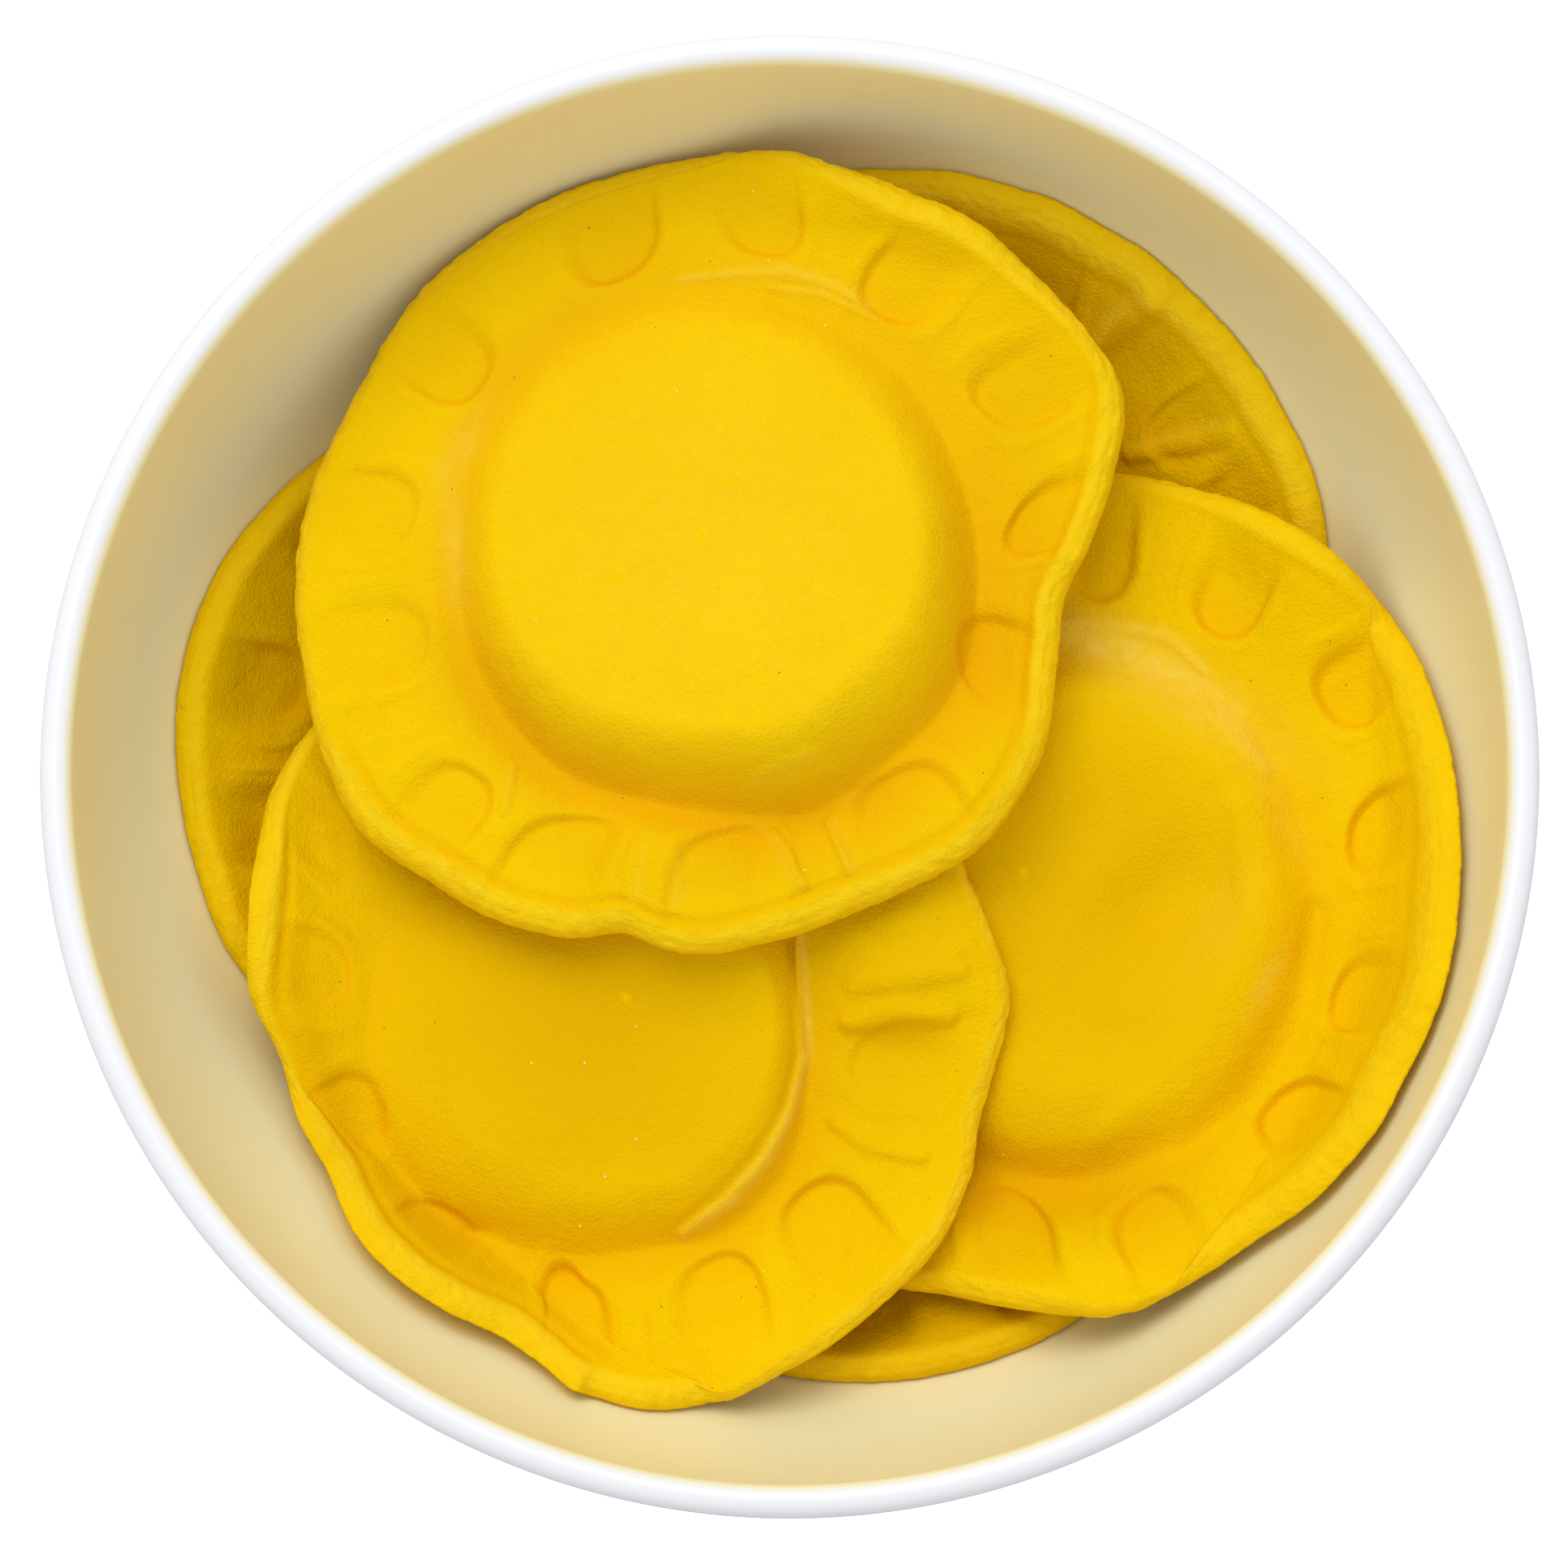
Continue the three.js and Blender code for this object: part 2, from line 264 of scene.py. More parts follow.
# ---- the ravioli, from the lowest to the topmost ----
# rest: height of the underside above the table at the centre, where nothing lifts it.
# tilt: rise of the underside for each millimetre along X and along Y.
# radii: reach of the brim at even steps, anticlockwise from +X.
# dome: offset from the centre, height of the filling, and
#   lean: rise of its top for each millimetre along X and along Y,
#   foot: radius of its foot every 45 degrees, anticlockwise from +X,
#   flank: width of its sloping flank, dip: how far the brim dips at the foot,
#   dip_width: how far out the dip reaches, and
#   painted_shade_tint: how much painted shade deepens the yellow in it, at the same places.
# marks: direction in degrees, reach in from the edge, half-width and relative depth.
# ragged: roughness of the edge.
# waves: direction and half-width in degrees, outward and upward move of a part of the edge.
# cut: from and to in degrees, how far the lower sheet shows beyond the upper one there,
#   how much the edge is turned up, and over how many degrees that begins and ends.
# cut_tone: how pale the cut is.
# dents: x, y, direction, half-length, half-width and depth of a soft hollow (or a swelling).
# folds: points with the half-width there of a crease, its height and its share of flour.
# flour: x, y, direction, half-length, half-width and strength of a floured streak.
# overall_rich_and_painted_shade: how deep the yellow of the whole raviolo is, and
#   rich_and_painted_shade: streaks where it is deeper, given like those of flour; both are
#   partly the dough's own deeper yellow and partly painted shade in troughs and low in the heap.
# sectors, rings: fineness of the mesh, and crowd: direction in which the sectors are crowded
#   and how much.
# UNTOUCHED: what a raviolo has where its own entry says nothing else.
UNTOUCHED = dict(
    ragged=0.05, waves=(), cut=(), cut_tone=0.5, dents=(), folds=(), flour=(), overall_rich_and_painted_shade=0, rich_and_painted_shade=(),
    crowd=(0, 0),
)
RAVIOLI = (
    UNTOUCHED | dict(
        name="ravioli_front", centre=(8, -19.5), rest=9, tilt=(0, 0), radii=(43.2,) * 12,
        dome=even_dome(3.5),
        marks=even_marks(-90), overall_rich_and_painted_shade=1,
        sectors=280, rings=86, crowd=(-75, 0.6),
    ),
    UNTOUCHED | dict(
        name="ravioli_left", centre=(-24, 6.5), rest=13, tilt=(-0.05, 0),
        radii=(43,) * 9 + (42.8, 43.1, 43.1, 43, 42.9, 43.5) + (43,) * 9,
        dome=even_dome(3.5),
        marks=even_marks(167),
        sectors=360, rings=94, crowd=(190, 0.6),
    ),
    UNTOUCHED | dict(
        name="ravioli_back", centre=(13, 22), rest=16, tilt=(0, 0.05),
        radii=(
            46.5, 46.7, 46.1, 45.6, 45.8, 46.4, 47.4, 48.2, 46.5, 44, 42, 40.9,
            40, 39.4, 39, 38.9, 39, 39.4, 40, 40.9, 42, 43.5, 45, 45.9,
        ),
        dome=even_dome(4),
        marks=(
            (19.5, 10, 4.6, 0.6), (34, 12, 5, 0.6), (46, 14, 5.2, 0.6), (68, 13, 6, 0.8),
            *((direction, 12, 5.6, 1) for direction in range(92, 289, 28)), (320, 12, 5.6, 1),
        ),
        cut=((3, 104, 1, 0.3, 14, 20),), cut_tone=1,
        folds=(
            (((34.5, 53, 1.3), (36.2, 54, 1.6), (41.3, 56.8, 1.5)), 0.9, 0.2),
            (((38.9, 41.3, 1), (49.9, 42.4, 1.3)), 0.6, 0.1),
        ),
        sectors=400, rings=94, crowd=(50, 0.6),
    ),
    UNTOUCHED | dict(
        name="ravioli_right", centre=(25, -7.5), rest=22, tilt=(0.12, 0),
        radii=(
            46.6, 47.2, 48, 48.8, 48.8, 47.9, 47.4, 46.2, 45.6, 46, 45.1, 44,
            43, 41.9, 40.9, 40, 39.4, 39, 39, 39.3, 40, 41, 42.6, 44.4,
            46, 47, 46.6, 47.8, 49.2, 48.7, 47.6, 47.8, 47.4, 46.7, 46.7, 46.5,
        ),
        dome=dict(
            offset=(5.9, -3.4), height=3.6, lean=(0, 0),
            foot=(26.5, 28, 28.5, 28, 28, 28.5, 30, 29), flank=(9, 8, 6, 9, 12, 12, 11, 11),
            dip=(0.3, 0.4, 0.3, 0.3, 0.5, 1.6, 2.4, 1), dip_width=(4, 3, 4, 4, 4, 4, 5, 5),
            painted_shade_tint=(0.1, 0.15, 0.2, 0.2, 0.3, 0.8, 0.6, 0),
        ),
        marks=(
            (74, 15, 4.5, 0.8), (51, 14, 4.8, 1.1), (30, 11, 5.6, 1.1), (4.4, 11, 5.4, 1),
            (-21, 10, 5.6, 1), (-44, 11, 5.8, 1.1), (-69, 11, 5.2, 1.2), (-92.6, 13.5, 5.4, 1.1),
            (-122, 12, 5.6, 1), (-151, 12, 5.6, 1), (180, 12, 5.6, 1), (150, 12, 5.6, 1),
            (112, 12, 5.6, 1),
        ),
        waves=((-10, 45, 0, 2.4), (-50, 30, 0, 2.2)),
        cut=((-80, 62, 1, 0.4, 12, 20),),
        dents=(
            (42, -10, 35, 9, 7, 4.2), (30, -3, 20, 12, 5, 1.4), (37, -27, -40, 6, 4, 0.8),
        ),
        folds=(
            (((26, 19, 0.8), (31, 18.5, 1.8), (37, 16.7, 2), (42.7, 14.2, 1.8), (47.9, 9.7, 1.6),
              (52.2, 3.7, 0.8)), 0.35, 0.55),
            (((27.8, 20.4, 0.5), (34.6, 20.2, 0.7), (41.9, 18.6, 0.7), (45.5, 15, 0.5)), 0.3, 0.4),
            (((36, -37, 2.5), (46.7, -27.3, 3.6), (52, -12, 3.6), (50.5, -1, 2.5)), 0.8, 0),
            (((57.6, -12, 1.4), (56, -22, 2), (50, -31.8, 2), (43.5, -38.5, 1.6)), -0.6, 0),
        ),
        flour=(
            (40, 14, -30, 14, 3.5, 0.5), (53, -1, -60, 6, 1.6, 0.2), (51.5, -20, 62, 4, 1, 0.4),
            (47, -13, 60, 7, 2.5, 0.12), (35, 38, 5, 5, 1.2, 0.3),
        ),
        rich_and_painted_shade=((33, -15, -60, 27, 24, 0.8), (28, -41, -5, 14, 7, 0.6)),
        sectors=560, rings=110, crowd=(-20, 0.4),
    ),
    UNTOUCHED | dict(
        name="ravioli_front_left", centre=(-17, -21), rest=24, tilt=(0.08, 0.08),
        radii=(
            40.5, 38.9, 37.9, 38.5, 38.7, 39.3, 40, 40.6, 41.3, 42, 42.7, 43.4,
            44, 44.8, 46.1, 45.6, 43.6, 42.2, 41.3, 38.8, 38.6, 38.1, 39.4, 39.8,
            39.8, 39.7, 42, 44.7, 44.9, 44.1, 43.6, 43.1, 43, 41.7, 40, 40.1,
        ),
        dome=dict(
            offset=(-4.7, -3.5), height=3.4, lean=(0.03, -0.03),
            foot=(24, 24.5, 24.5, 24.5, 25.5, 25.5, 24.5, 27), flank=(4, 6, 8, 10, 13, 10, 8, 8),
            dip=(0.2, 0, 0, 0, 0.6, 0.9, 1.1, 1), dip_width=(4, 3, 3, 3, 4, 3, 3.5, 3.5),
            painted_shade_tint=(0.3, 0, 0, 0, 0.2, 0.15, 0.35, 0.5),
        ),
        marks=(
            (177, 10.5, 5, 0.8), (201, 9.5, 5.4, 0.7), (232, 10.5, 5, 0.7), (261, 12.5, 5, 1),
            (286.4, 15, 5.8, 0.9), (310.5, 15.5, 6, 1), (345, 15.5, 5.4, 0.4), (15, 12, 5.6, 0.4),
            (45, 12, 5.6, 1), (75, 12, 5.6, 1), (102, 12, 5.6, 1), (128, 12, 5.6, 1),
            (155, 11, 4.5, 0.5),
        ),
        waves=(
            (200, 16, 0, 2), (235, 20, 0, 2.4), (170, 14, 0, 1), (-50, 22, 0, 1.4),
            (261.5, 3, 0.8, 0.3),
        ),
        cut=((150, 264, 1.1, 1.7, 16, 1.5), (-27, 24, 1.2, 0, 8, 8)), cut_tone=0.9,
        dents=(
            (-39.5, -5.5, 0, 2, 1.6, 0.7), (-34, -46.5, 20, 1.8, 1.2, 0.7),
            (11, -26, -8, 6, 2.8, 0.9), (-22, -51, 5, 9, 2, 0.7),
        ),
        folds=(
            (((1, -13, 0.45), (1.7, -19.8, 0.5), (2, -27.2, 0.55), (0.4, -33.5, 0.6),
              (-2.2, -38.8, 0.75), (-6, -43.2, 0.8), (-11.5, -47.1, 0.5)), 0.7, 0.6),
            (((0.1, -15, 0.35), (0.8, -19.8, 0.4), (1, -27, 0.4), (-0.7, -33.2, 0.5),
              (-3.5, -38, 0.6), (-7, -42, 0.6), (-11.5, -45.6, 0.4)), -0.3, 0),
            (((7.9, -19.4, 1), (12.7, -18.9, 1.1), (17.9, -18.5, 0.8)), 0.45, 0),
            (((7.2, -23.2, 1.1), (12, -22.3, 1.4), (17.2, -23.1, 0.9)), 0.8, 0),
            (((5.4, -34.6, 0.9), (9.4, -37.1, 1.3), (14.7, -38.6, 0.9)), 0.7, 0),
        ),
        rich_and_painted_shade=(
            (-22, -25, 0, 24, 24, 1), (-51, -28, -70, 10, 2, 0.8), (-43, -42, -45, 10, 2, 0.8),
            (-33, -51, -32, 9, 2, 0.7), (13, -24, 80, 20, 9, 0.5),
        ),
        sectors=560, rings=110, crowd=(-100, 0.35),
    ),
    UNTOUCHED | dict(
        name="ravioli_top", centre=(-9.5, 26.5), rest=35.8, tilt=(0.02, 0),
        radii=(
            42, 45.3, 48.6, 47.7, 46.6, 45.7, 44.2, 44, 44.1, 43.6, 43, 42.7,
            42.6, 42.5, 42.1, 41.5, 41.6, 42.8, 43.7, 44.3, 45.1, 46.8, 47.9, 46.5,
            46, 44.9, 43.6, 44.6, 43.8, 43.3, 43.6, 44.4, 44.1, 42.9, 40.7, 40.3,
        ),
        dome=dict(
            offset=(0.5, 0.25), height=5.3, lean=(0.1, -0.13),
            foot=(29.2, 28.3, 28.6, 27.6, 27.3, 28.8, 29.8, 32), flank=(7, 7, 5, 5, 5, 7, 9, 10),
            dip=(1.3, 0.6, 0.4, 0.5, 0.5, 1.5, 1.9, 1.6), dip_width=(7, 5, 5, 3.5, 2.2, 3, 3.5, 5),
            painted_shade_tint=(0.5, 0.3, 0.35, 0.6, 0.5, 0.7, 0.7, 0.7),
        ),
        marks=(
            (4.8, 10.5, 5, 1), (27, 14.8, 5.3, 0.8), (51.3, 13.8, 5.2, 0.9), (78.2, 11.5, 5.5, 0.8),
            (107.7, 12.3, 6.2, 0.9), (141.8, 12.6, 5.5, 0.8), (174.2, 12.5, 5.5, 0.5),
            (197.7, 14.5, 5.5, 0.5), (224.6, 13.4, 5.2, 0.7), (248.8, 13.8, 6.6, 0.8),
            (276, 13.5, 6, 1), (307.8, 12.5, 6.3, 1), (337.4, 11.8, 5.8, 0.8),
        ),
        ragged=0.08,
        waves=(
            (-5, 40, 0, 3.2), (-85, 36, 0, 2.6), (145, 28, 0, -1.8), (-101, 4, -0.7, 0),
            (-8, 6, -0.8, 0),
        ),
        cut=((-158, 30, 2.7, 0, 14, 14), (104, 142, 1.2, 0, 10, 10)), cut_tone=0.8,
        folds=(
            (((-12, 56.2, 0.3), (-6.1, 56.8, 0.6), (-0.7, 57, 0.7), (3.7, 55.9, 0.6), (9, 53, 0.3)),
             0.2, 0.3),
            (((-2, 55.2, 0.3), (3.5, 54.6, 0.4), (9.5, 51.8, 0.3)), 0.15, 0.2),
            (((-3.6, 0.2, 0.4), (-0.5, 1.5, 0.7), (3.4, 3, 0.4)), 0.2, 0.12),
            (((-1.9, -5, 0.5), (0.9, -10.7, 0.7)), 0.45, 0.1),
            (((4.4, -3.7, 0.5), (6.8, -9.1, 0.7)), 0.45, 0.1),
            (((-15.6, -6.8, 0.5), (-16.4, -12.9, 0.6)), 0.35, 0.1),
            (((-11.7, -8.1, 0.5), (-11.9, -12.8, 0.6)), 0.35, 0.1),
            (((-29.6, 2.5, 0.5), (-30.4, -2.3, 0.6)), 0.3, 0.1),
        ),
        flour=(
            (-35.5, 37.5, 60, 5, 1.5, 0.3), (-36.3, 27, 95, 6, 1.4, 0.4), (-9, 27, 0, 24, 24, 0.13),
        ),
        rich_and_painted_shade=((25, 25, 90, 26, 7, 0.45), (-32, 8, -55, 14, 3, 0.6), (-5, -8, 0, 18, 4, 0.4)),
        overall_rich_and_painted_shade=0.2, sectors=600, rings=120,
    ),
)


# ---- small mathematics ----
def smooth_max(a, b, blend):
    return 0.5 * (a + b + np.hypot(a - b, blend))


def smooth_step(value):
    t = np.clip(value, 0, 1)
    return t * t * (3 - 2 * t)


def turn_between(angle, other):
    return (angle - other + np.pi) % FULL_TURN - np.pi


def round_the_circle(values, angle):
    """A smooth closed curve through values that stand at even steps round the circle."""
    values = np.asarray(values, float)
    count = len(values)
    place = (angle / FULL_TURN % 1) * count
    index = np.floor(place).astype(int)
    t = place - index
    a, b, c, d = (values[(index + step) % count] for step in (-1, 0, 1, 2))
    return b + 0.5 * t * (c - a + t * (2 * a - 5 * b + 4 * c - d + t * (3 * (b - c) + d - a)))


def unevenness(x, y, size, seed):
    """Smooth noise between about -1 and 1, with hollows and swellings of the given size."""
    table = np.random.RandomState(seed).uniform(-1, 1, (NOISE_TABLE, NOISE_TABLE))
    u, v = x / size, y / size
    column, row = np.floor(u).astype(int), np.floor(v).astype(int)
    s, t = smooth_step(u - column), smooth_step(v - row)

    def corner(i, j):
        return table[(column + i) % NOISE_TABLE, (row + j) % NOISE_TABLE]

    near = corner(0, 0) + s * (corner(1, 0) - corner(0, 0))
    far = corner(0, 1) + s * (corner(1, 1) - corner(0, 1))
    return near + t * (far - near)


def round_unevenness(angle, count, seed):
    """Noise round a circle, with about the given number of swellings and hollows."""
    radius = count / FULL_TURN
    return unevenness(radius * np.cos(angle), radius * np.sin(angle), 1, seed)


def along_and_aside(x, y, place, direction):
    """Distances from a place, measured along a direction in degrees and across it."""
    turn = np.radians(direction)
    dx, dy = x - place[0], y - place[1]
    return dx * np.cos(turn) + dy * np.sin(turn), dy * np.cos(turn) - dx * np.sin(turn)


def soft_spots(spots, x, y):
    """Sum of soft oval spots: x, y, direction, half-length, half-width and strength."""
    total = np.zeros_like(x)
    for spot_x, spot_y, direction, half_length, half_width, strength in spots:
        along, aside = along_and_aside(x, y, (spot_x, spot_y), direction)
        total += strength * np.exp(-((along / half_length) ** 2) - (aside / half_width) ** 2)
    return total


def away_from_crease(x, y, points):
    """Distance from a line through the points, in half-widths of the crease there."""
    nearest = np.full_like(x, np.inf)
    for (ax, ay, a_width), (bx, by, b_width) in zip(points, points[1:]):
        length = np.hypot(bx - ax, by - ay)
        share = np.clip(((x - ax) * (bx - ax) + (y - ay) * (by - ay)) / length**2, 0, 1)
        away = np.hypot(x - ax - share * (bx - ax), y - ay - share * (by - ay))
        nearest = np.minimum(nearest, away / (a_width + share * (b_width - a_width)))
    return nearest


# ---- the bowl's wall ----
def wall_height(distance, radius, bottom):
    """Height of a wall that leaves its bottom level and stands upright at the radius."""
    share = np.minimum(distance / radius, 1)
    drop = (1 - share**WALL_ROUNDNESS) ** (1 / WALL_ROUNDNESS)
    top = RIM_HEIGHT - LIP_THICKNESS / 2
    return top - (top - bottom) * drop


# ---- how the ravioli lie on each other ----
def own_seed(piece):
    """A seed that goes with a raviolo: how long its name is."""
    return len(piece["name"])


def reach_at(piece, angle):
    """How far the brim reaches from the centre, waves included."""
    reach = round_the_circle(piece["radii"], angle)
    reach = reach + EDGE_WAVER * round_unevenness(angle, WAVERS_ROUND_BRIM, own_seed(piece))
    for direction, half_width, outward, _ in piece["waves"]:
        turn = turn_between(angle, np.radians(direction)) / np.radians(half_width)
        reach = reach + outward * np.exp(-turn * turn)
    return reach


def polar_at(piece, x, y):
    """Place from a raviolo's centre, its angle and distance, and the brim's reach there."""
    dx, dy = x - piece["centre"][0], y - piece["centre"][1]
    angle = np.arctan2(dy, dx)
    return dx, dy, angle, np.hypot(dx, dy), round_the_circle(piece["radii"], angle)


def dome_polar(piece, x, y):
    """Place from the middle of the dome, with its angle and distance."""
    offset_x, offset_y = piece["dome"]["offset"]
    dx, dy = x - piece["centre"][0] - offset_x, y - piece["centre"][1] - offset_y
    return dx, dy, np.arctan2(dy, dx), np.hypot(dx, dy)


def blur(field, spread):
    """Softens a field of the grid by a bell curve of the given width in millimetres."""
    reach = int(np.ceil(BELL_REACH * spread / GRID_STEP))
    steps = np.arange(-reach, reach + 1) * GRID_STEP
    bell = np.exp(-0.5 * (steps / spread) ** 2)
    bell /= bell.sum()
    for axis in (0, 1):
        margins = [(reach, reach) if side == axis else (0, 0) for side in (0, 1)]
        padded = np.pad(field, margins, "edge")
        size = field.shape[axis]
        field = sum(
            weight * np.take(padded, np.arange(offset, offset + size), axis)
            for offset, weight in enumerate(bell)
        )
    return field


def widest(field, reach):
    """The largest value within the reach of each place of the grid."""
    steps = int(round(reach / GRID_STEP))
    for axis in (0, 1):
        field = np.max([np.roll(field, step, axis) for step in range(-steps, steps + 1)], axis=0)
    return field


def on_grid(field, x, y):
    """Value of a grid field between its places, along smooth curves."""
    u, v = (x + GRID_HALF) / GRID_STEP, (y + GRID_HALF) / GRID_STEP
    column, row = np.floor(u).astype(int), np.floor(v).astype(int)
    s, t = u - column, v - row
    total = np.zeros_like(s)
    for i, along in zip((-1, 0, 1, 2), curve_weights(s)):
        for j, aside in zip((-1, 0, 1, 2), curve_weights(t)):
            total += along * aside * field[column + i, row + j]
    return total


def curve_weights(t):
    """Shares of four neighbours in a smooth curve, at t between the middle two."""
    return (
        (1 - t) ** 3 / 6,
        (3 * t**3 - 6 * t**2 + 4) / 6,
        (-3 * t**3 + 3 * t**2 + 3 * t + 1) / 6,
        t**3 / 6,
    )


def free_height(piece, x, y):
    dx, dy = x - piece["centre"][0], y - piece["centre"][1]
    return piece["rest"] + piece["tilt"][0] * dx + piece["tilt"][1] * dy


def settle(piece, held):
    """Height of a limp sheet over what holds it: it sags back to its free height between."""
    free = free_height(piece, GRID_X, GRID_Y)
    least = np.maximum(held - free, 0)
    lift = least
    for _ in range(SAG_ROUNDS):
        lift = np.maximum(least, (1 - SAG_SHARE) * blur(lift, SAG_BLUR))
    softened = blur(lift, BEND_BLUR)
    missing = blur(widest(np.maximum(least - softened, 0), 2 * BEND_BLUR), BEND_BLUR)
    return free + softened + missing


def underside(index, x, y):
    """Points and normals of one raviolo's underside."""
    heights = []
    for step_x, step_y in ((0, 0), (SLOPE_STEP, 0), (0, SLOPE_STEP)):
        wall = wall_height(np.hypot(x + step_x, y + step_y), INNER_RADIUS, FLOOR_HEIGHT)
        sheet = on_grid(SHEETS[index], x + step_x, y + step_y)
        heights.append(smooth_max(sheet, wall + WALL_CLEARANCE, WALL_BLEND))
    slope_x = (heights[1] - heights[0]) / SLOPE_STEP
    slope_y = (heights[2] - heights[0]) / SLOPE_STEP
    length = np.sqrt(1 + slope_x**2 + slope_y**2)
    normal = np.stack([-slope_x / length, -slope_y / length, 1 / length], -1)
    return np.stack([x, y, heights[0]], -1), normal


def lay_the_ravioli():
    """Settles one sheet after the other, each over the tops of those before it."""
    held = np.zeros_like(GRID_X)
    inner = (slice(GRID_MARGIN, -GRID_MARGIN),) * 2
    for index, piece in enumerate(RAVIOLI):
        SHEETS.append(settle(piece, held))
        point, normal = underside(index, GRID_X[inner], GRID_Y[inner])
        top = point[..., 2] + DOUGH_THICKNESS / np.maximum(normal[..., 2], STEEPEST)
        top = np.pad(top, GRID_MARGIN, "edge") + dome_rise(piece, GRID_X, GRID_Y) + CLEARANCE
        _, _, _, distance, reach = polar_at(piece, GRID_X, GRID_Y)
        held = np.where(distance < reach + EDGE_ROOM, np.maximum(held, top), held)


# ---- the shape of one raviolo ----
def dome_foot(piece, angle):
    """Radius of the dome's foot, a little uneven."""
    foot_seed = FOOT_SEED_FACTOR * own_seed(piece)
    waver = FOOT_WAVER * round_unevenness(angle, WAVERS_ROUND_FOOT, foot_seed)
    return round_the_circle(piece["dome"]["foot"], angle) + waver


def dome_rise(piece, x, y):
    """Height of the filling: a nearly flat top with a sloping flank all round."""
    dome = piece["dome"]
    dx, dy, angle, distance = dome_polar(piece, x, y)
    foot = dome_foot(piece, angle)
    climbed = np.clip((foot - distance) / round_the_circle(dome["flank"], angle), 0, 1)
    top = dome["height"] + dome["lean"][0] * dx + dome["lean"][1] * dy
    crown = DOME_CROWN * (1 - (distance / foot) ** 2)
    return np.maximum(top + crown, 0) * np.sin(np.pi / 2 * climbed) ** FOOT_SHARPNESS


def foot_band(piece, x, y, strength):
    """A soft band round the foot of the dome; strength names its amounts round the dome."""
    dome = piece["dome"]
    _, _, angle, distance = dome_polar(piece, x, y)
    beyond = distance - dome_foot(piece, angle)
    width = np.where(beyond > 0, round_the_circle(dome["dip_width"], angle), DIP_INNER_WIDTH)
    return round_the_circle(dome[strength], angle) * np.exp(-((beyond / width) ** 2))


def mark_press(piece, angle, distance, reach):
    """How deep the fingers have pushed the brim in, less the crest beside each mark.

    Also how much painted shade goes on the dough, which is most on the wall of each mark.
    """
    from_edge = reach - distance
    press, crease = np.zeros_like(angle), np.zeros_like(angle)
    chance = np.random.RandomState(MARK_SEED + own_seed(piece))
    for direction, mark_reach, half_width, depth in piece["marks"]:
        aside = turn_between(angle, np.radians(direction)) * distance
        aside = (aside + MARK_SKEW * chance.uniform(-1, 1) * (from_edge - mark_reach)) / half_width
        inward = np.maximum(0, from_edge - mark_reach + MARK_TIP_LENGTH) / MARK_TIP_LENGTH
        beside, beyond = np.abs(aside) ** MARK_ROUNDNESS, inward**MARK_ROUNDNESS
        inside = 1 - (beside + beyond) ** (1 / MARK_ROUNDNESS)
        towards_edge = smooth_step((from_edge - MARK_FADE_START) / (MARK_FADE_SHARE * mark_reach))
        at_side = beside / (beside + beyond + NO_ZERO)
        at_soft_side = at_side * (aside * chance.choice([-1, 1]) > 0)
        down = smooth_step(inside / (MARK_WALL_SHARE * (1 + SOFT_SIDE_SHARE * at_soft_side)))
        towards_end = 1 - SIDE_CREASE_LOSS * at_side - SOFT_CREASE_LOSS * at_soft_side
        # painted shade on the wall of each mark, less at its sides
        crease = np.maximum(crease, 4 * down * (1 - down) * depth * towards_edge * towards_end)
        scoop = MARK_DEPTH * depth * down * (MARK_EDGE_DEPTH + (1 - MARK_EDGE_DEPTH) * towards_edge)
        crest = np.exp(-(((inside + CREST_PLACE) / CREST_WIDTH) ** 2)) * towards_edge
        crest = crest * MARK_CREST * depth * at_side
        press = np.where(inside > 0, np.maximum(press, scoop), press - crest)
    return press, crease


def edge_curl(piece, angle, distance, reach):
    """How much higher a part of the edge lies than the sheet would by itself."""
    towards_edge = np.clip((distance - reach + CURL_WIDTH) / CURL_WIDTH, 0, 1) ** CURL_POWER
    rise = np.zeros_like(towards_edge)
    for direction, half_width, _, upward in piece["waves"]:
        turn = turn_between(angle, np.radians(direction)) / np.radians(half_width)
        rise += upward * np.exp(-turn * turn) * towards_edge
    return rise + hem_lift(piece, angle) * smooth_step((distance - reach + HEM_WIDTH) / HEM_WIDTH)


def hem_lift(piece, angle):
    """How much the very edge is turned up."""
    lift = np.zeros_like(angle)
    for start, end, _, most, fade_in, fade_out in piece["cut"]:
        lift = lift + most * shown_share(angle, start, end, fade_in, fade_out)
    return lift


def fold_rise(piece, x, y):
    """Height of the creases and pleats."""
    rise = np.zeros_like(x)
    for points, height, _ in piece["folds"]:
        rise += height * np.exp(-(away_from_crease(x, y, points) ** FOLD_SHARPNESS))
    return rise


def shown_share(angle, start, end, fade_in, fade_out):
    """1 between two directions given in degrees, fading to 0 at both."""
    after_start = turn_between(angle, np.radians((start + end) / 2)) + np.radians((end - start) / 2)
    before_end = np.radians(end - start) - after_start
    begun = smooth_step(after_start / np.radians(fade_in))
    return begun * smooth_step(before_end / np.radians(fade_out))


def cut_width(piece, angle):
    """How far the lower sheet shows beyond the upper one at the edge."""
    width = CUT_SLANT + CUT_WAVER * round_unevenness(angle, WAVERS_ROUND_BRIM, CUT_SEED)
    for start, end, most, _, fade_in, fade_out in piece["cut"]:
        width = width + (most - CUT_SLANT) * shown_share(angle, start, end, fade_in, fade_out)
    return width


